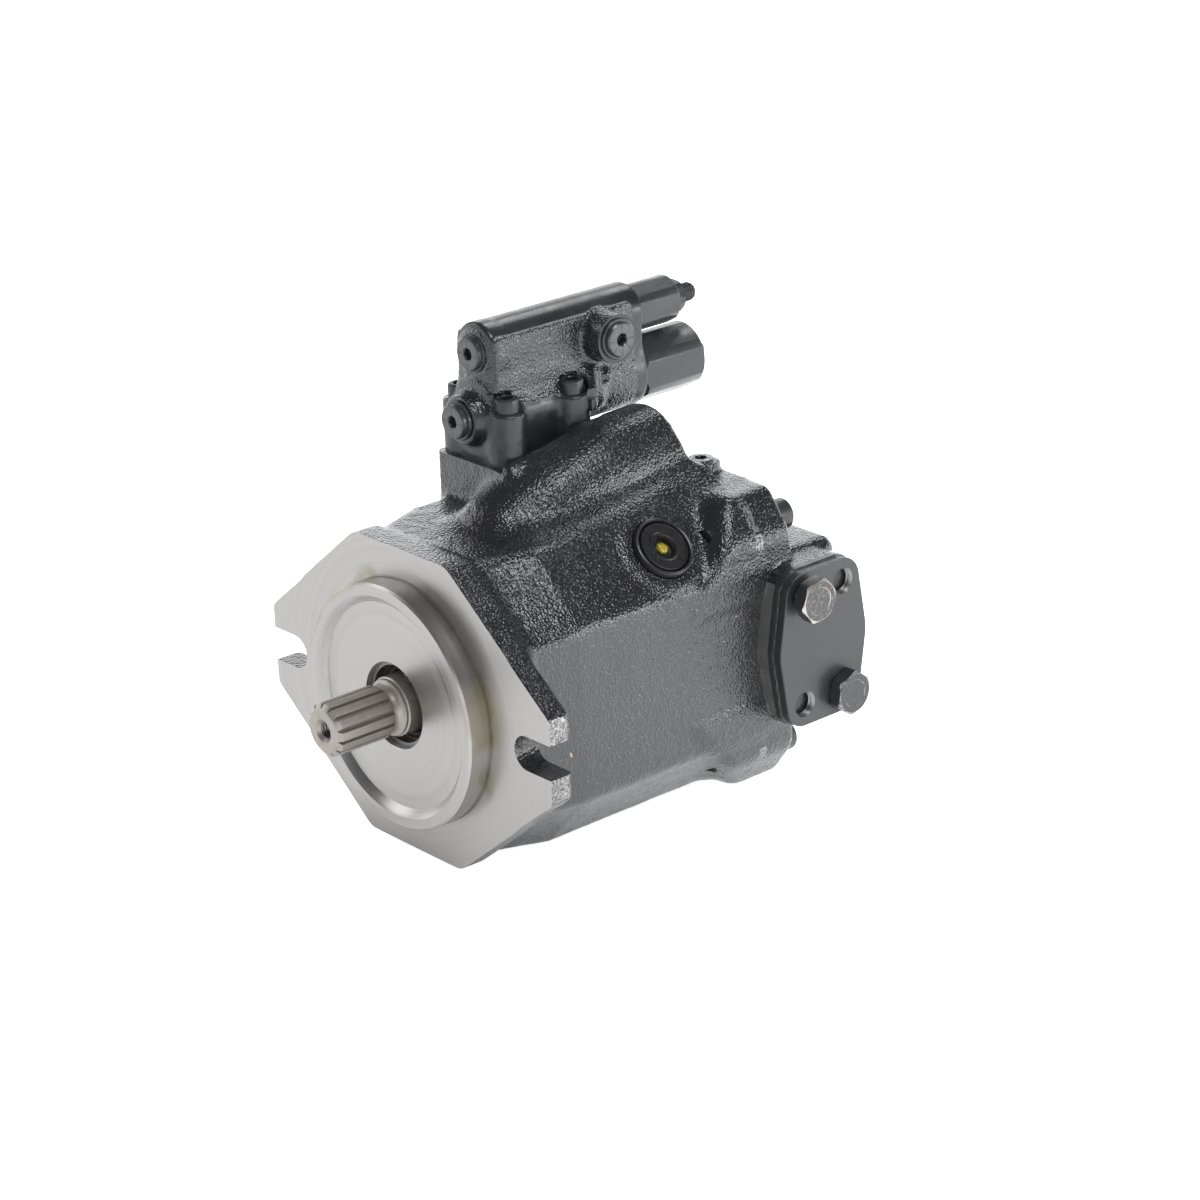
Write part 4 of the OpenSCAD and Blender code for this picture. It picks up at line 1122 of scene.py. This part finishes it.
# ---------------------------------------------------------------- socket screws
def cap_screw(head_r, seat, top, flats, depth, shank_r, tip, m, turn=0.0, pitch=1.25):
    """Socket head cap screw along local Z, head at the high end."""
    head = lathe("head", [
        (0, seat), (head_r - 0.15, seat), (head_r, seat + 0.15), (head_r, top - 0.7), (head_r - 0.25, top - 0.25),
        (head_r - 0.8, top), (0, top)], m, 72)
    boolean(head, socket(flats, top - depth, top, m, turn))
    shank = screw_thread("shank", shank_r, 0.32, pitch, tip, seat + 0.2, m, 28)
    return boolean(head, shank, "UNION")


screws = [cap_screw(5, 101.5, 107.7, 5, 3.4, 2.95, 73.8, at(VALVE_X + dx, y, 0), 0.3 * i, 1.0)
          for i, (dx, y) in enumerate((a, b) for a in SCREW_X for b in SCREW_Y)]
screws = join("valve_screws_detail", screws)
paint(screws, [OXIDE])
stand_in(screws, "valve_screws", 30)
bolts = [cap_screw(6.5, 151, 159, 6, 4, 3.96, 116, at(i * BOLT[0], 0, j * BOLT[1], ALONG_Y), 0.4 * i + 0.2 * j)
         for i in (-1, 1) for j in (-1, 1)]
bolts = join("housing_bolts_detail", bolts)
paint(bolts, [OXIDE])
stand_in(bolts, "housing_bolts", 30)


# ---------------------------------------------------------------- plugs
def flanged_plug(profile, flats, floor, top, m, turn=0.2):
    return boolean(lathe("plug", profile, m, 96), socket(flats, floor, top, m, turn))


FRONT_UP, FRONT_LO = 62.0, 53.0
upper = flanged_plug([
    (0, -8), (4.3, -8), (4.45, -7.8), (4.45, -1.9), (7.1, -1.9), (7.1, 0.6), (7.75, 0.7), (7.9, 1.0), (7.9, 1.6),
    (7.6, 1.9), (7.0, 2.0), (7.0, 3.4), (6.4, 4.0), (0, 4.0)], 4.6, 1.2, 4.0, at(VALVE_X, FRONT_UP, UP_Z, BACK_Y))
lower = flanged_plug([
    (0, -9), (4.8, -9), (4.95, -8.8), (4.95, -1.9), (7.1, -1.9), (7.1, 0.6), (8.0, 0.7), (8.2, 1.0), (8.2, 1.7),
    (7.9, 2.0), (7.1, 2.1), (7.1, 3.8), (6.5, 4.4), (0, 4.4)], 4.6, 1.4, 4.4, at(VALVE_X, FRONT_LO, LO_Z, BACK_Y))
front = join("front_plugs_detail", [upper, lower])
paint(front, [CAP])
stand_in(front, "front_plugs", 30)
side = flanged_plug([
    (0, -7), (5.3, -7), (5.45, -6.8), (5.45, 0.05), (8.3, 0.05), (8.5, 0.3), (8.5, 0.8), (8.2, 1.05), (7.3, 1.15), (7.3, 2.4),
    (6.7, 3.0), (0, 3.0)], 4.8, -0.5, 3.0, at(-2, 118, 121.5, ALONG_X))
paint(side, [CAP])
stand_in(side, "side_plug", 30)

fill = flanged_plug([
    (0, -10), (8.7, -10), (8.9, -9.8), (8.9, 0.05), (12.7, 0.05), (12.9, 0.3), (12.9, 3.4), (12.2, 4.2), (11.6, 4.4), (0, 4.4)],
    10, -4, 4.4, slant(-1))
paint(fill, [CAP])
stand_in(fill, "fill_plug", 30)
gauge = flanged_plug([
    (0, 54), (3.3, 54), (3.45, 54.2), (3.45, 67.6), (5.2, 67.6), (5.5, 67.8), (5.5, 68.6), (5.1, 69.1), (0, 69.25)],
    4.4, 66.4, 69.25, at(18, 143.5, 0))
paint(gauge, [CAST])
stand_in(gauge, "gauge_plug", 30)

drain = lathe("drain", [
    (0, -6), (8.7, -6), (8.9, -5.8), (8.9, 0.1), (12.6, 0.1), (12.9, 0.4), (12.9, 3.6), (12.7, 4.1), (12.2, 4.3),
    (11.6, 4.1), (11.2, 3.2), (10.9, 2.3), (10.65, 2.2), (10.5, 3.9), (10.3, 4.15), (10.05, 4.15), (9.85, 3.75),
    (6.5, 3.7), (6.35, 4.0), (6.1, 4.15), (5.3, 4.1), (5.0, 3.7), (4.7, 2.0), (4.4, 0.9), (0, 0.6)], slant(1), 128)
for i in range(4):
    turn = Matrix.Rotation(math.radians(i * 90 + 30), 4, "Z")
    spoke = block((6.2, -0.22, 2), (10.1, 0.22, 4.05), slant(1) @ turn)
    boolean(drain, spoke, "UNION")
paint(drain, [PLASTIC])
stand_in(drain, "drain_plug", 32)
amber = lathe("amber", [(0, 0.62), (2.0, 0.7), (2.5, 1.0), (2.4, 1.5), (1.9, 2.0), (1.1, 2.3), (0, 2.35)],
              slant(1) @ at(-0.5, 0.6, 0), 48)
roughen(amber, 0.5, 1.5)
paint(amber, [AMBER])
stand_in(amber, "drain_plug_insert", 60)


# ---------------------------------------------------------------- spring caps, locknuts, adjusting screws
def spring_cap(flats, corner, length, bore, floor, shank, m, turn):
    """Closed cap: turned collar in the valve body, long hexagon, rounded end."""
    h = hexagon(flats, -0.5, length, m, corner, 0.8, turn)
    round_end = [(0, -0.5), (corner, -0.5), (corner, length - 2.6), (corner - 0.5, length - 1.4),
                 (corner - 1.6, length - 0.45), (corner - 2.9, length), (0, length)]
    boolean(h, lathe("end", round_end, m, 120), "INTERSECT")
    boolean(h, lathe("neck", [(0, -11), (shank, -11), (shank, -0.4), (0, -0.4)], m, 80), "UNION")
    boolean(h, tube(bore, -20, floor, m, 64))
    boolean(h, tube(4.05, floor - 1, length + 10, m, 40))
    return h


def lock_nut(a, b, m, turn):
    nut = hexagon(13, a, b, m, 7.1, 0.55, turn)
    return boolean(nut, lathe("bore", [(0, a - 1), (4.6, a - 1), (4.04, a + 0.5), (4.04, b - 0.5), (4.6, b + 1), (0, b + 1)], m, 48))


def adjuster(a, b, m):
    rod_ = screw_thread("screw", 4.0, 0.42, 1.25, a, b - 0.8, m, 40)
    boolean(rod_, lathe("point", [(0, b - 2.2), (3.5, b - 2.2), (3.5, b - 0.6), (3.0, b), (0, b)], m, 48), "UNION")
    return boolean(rod_, socket(4, b - 5, b, m, 0.1))


UP_AXIS, LO_AXIS = at(VALVE_X, 141, UP_Z, ALONG_Y), at(VALVE_X, 141, LO_Z, ALONG_Y)
for node, o, look, name, angle in (
        ("upper_cap", spring_cap(18.9, 10.3, 24.5, 6.75, 19, 8.45, UP_AXIS, 0.52), CAP, "black_smooth", 26),
        ("lower_cap", spring_cap(26.4, 14.3, 33.5, 8.7, 28, 9.95, LO_AXIS, 0.52), CAP, "black_smooth", 26),
        ("upper_nut", lock_nut(24.6, 29.4, UP_AXIS, 0.1), OXIDE, "black_oxide", 30),
        ("lower_nut", lock_nut(33.6, 38.2, LO_AXIS, 0.3), OXIDE, "black_oxide", 30),
        ("upper_screw", adjuster(8.05, 37.7, UP_AXIS), OXIDE, "black_oxide", 40),
        ("lower_screw", adjuster(19.55, 41.8, LO_AXIS), OXIDE, "black_oxide", 40)):
    paint(o, [look])
    stand_in(o, node, angle)


# ---------------------------------------------------------------- camera, light, floor
def stage():
    floor = prism("floor", [(-9000, -9000), (9000, -9000), (9000, 9000), (-9000, 9000)], -69.5, -67.5, at(0, 0, 0))
    t = Tree("floor_white")
    white = t.mix(t.noise(0.004, 2), (0.86, 0.865, 0.87), (0.89, 0.892, 0.895))
    # reflections find the floor dimmer in front of the object and on its left
    x, y, z = t.split()
    side = t.math("ADD", t.math("MULTIPLY", x, 0.76), t.math("MULTIPLY", y, 0.65))
    side = t.ramp(t.math("DIVIDE", side, 1000), (-0.10, 0.0), (0.14, 0.85))
    seen = t.add("ShaderNodeLightPath").outputs["Is Camera Ray"]
    t.done(Base_Color=white, Roughness=0.8, Specular_IOR_Level=0.1, Emission_Color=white,
           Emission_Strength=t.math("MAXIMUM", side, seen))
    floor.data.materials.append(t.material)

    def area(name, place, aim, size, power, colour=(1, 1, 1)):
        light = bpy.data.lights.new(name, "AREA")
        light.shape, light.size, light.size_y = "RECTANGLE", size[0], size[1]
        light.energy, light.color = power, colour
        o = bpy.data.objects.new(name, light)
        bpy.context.scene.collection.objects.link(o)
        o.location = place
        o.rotation_euler = (Vector(aim) - Vector(place)).to_track_quat("-Z", "Y").to_euler()
        return o

    # direction from the object, size of the panel, power: each sits where a surface should catch it
    for name, way, size, power in (
            ("key_top", (0.50, 0.04, 0.87), (0.85, 0.85), 24),
            ("rim_right", (0.80, 0.58, 0.17), (1.1, 0.36), 13),
            ("top_back", (-0.34, 0.60, 0.72), (0.8, 0.6), 9),
            ("back_left", (-0.72, 0.60, 0.36), (1.7, 0.9), 8),
            ("front_left", (-0.75, -0.45, 0.50), (1.2, 1.0), 9)):
        place = Vector(way).normalized() * 2.5 + Vector((0, 0.08, 0))
        area(name, place, (0, 0.08, 0), size, power)

    world = bpy.data.worlds.new("studio")
    world.use_nodes = True
    tree = world.node_tree
    back = tree.nodes["Background"]
    coord = tree.nodes.new("ShaderNodeTexCoord")
    xyz = tree.nodes.new("ShaderNodeSeparateXYZ")
    ramp = tree.nodes.new("ShaderNodeValToRGB")
    path = tree.nodes.new("ShaderNodeLightPath")
    mix = tree.nodes.new("ShaderNodeMix")
    mix.data_type = "RGBA"
    tree.links.new(coord.outputs["Generated"], xyz.inputs[0])
    tree.links.new(xyz.outputs[2], ramp.inputs[0])
    e = ramp.color_ramp.elements
    e[0].position, e[0].color = 0.08, (1.9, 1.93, 2.0, 1)
    e[1].position, e[1].color = 0.34, (0.10, 0.105, 0.115, 1)
    tree.links.new(path.outputs["Is Glossy Ray"], mix.inputs[0])
    mix.inputs[6].default_value = (1.0, 1.01, 1.03, 1)
    tree.links.new(ramp.outputs[0], mix.inputs[7])
    tree.links.new(mix.outputs[2], back.inputs[0])
    back.inputs[1].default_value = 1.0
    bpy.context.scene.world = world

    cam = bpy.data.cameras.new("camera")
    cam.sensor_width, cam.lens = 36.0, 36.0 * 3357.10 / 1200
    cam.clip_start, cam.clip_end = 0.05, 60
    o = bpy.data.objects.new("camera", cam)
    bpy.context.scene.collection.objects.link(o)
    right = Vector((0.66045087, 0.75006527, -0.03473806))
    up = Vector((-0.25375769, 0.26650342, 0.92982953))
    forward = Vector((-0.70669065, 0.60529168, -0.36634725))
    o.matrix_world = Matrix((
        (right.x, up.x, -forward.x, 0.97428),
        (right.y, up.y, -forward.y, -0.73257),
        (right.z, up.z, -forward.z, 0.51857),
        (0, 0, 0, 1),
    ))
    bpy.context.scene.camera = o
    bpy.context.scene.view_settings.view_transform = "Standard"


stage()
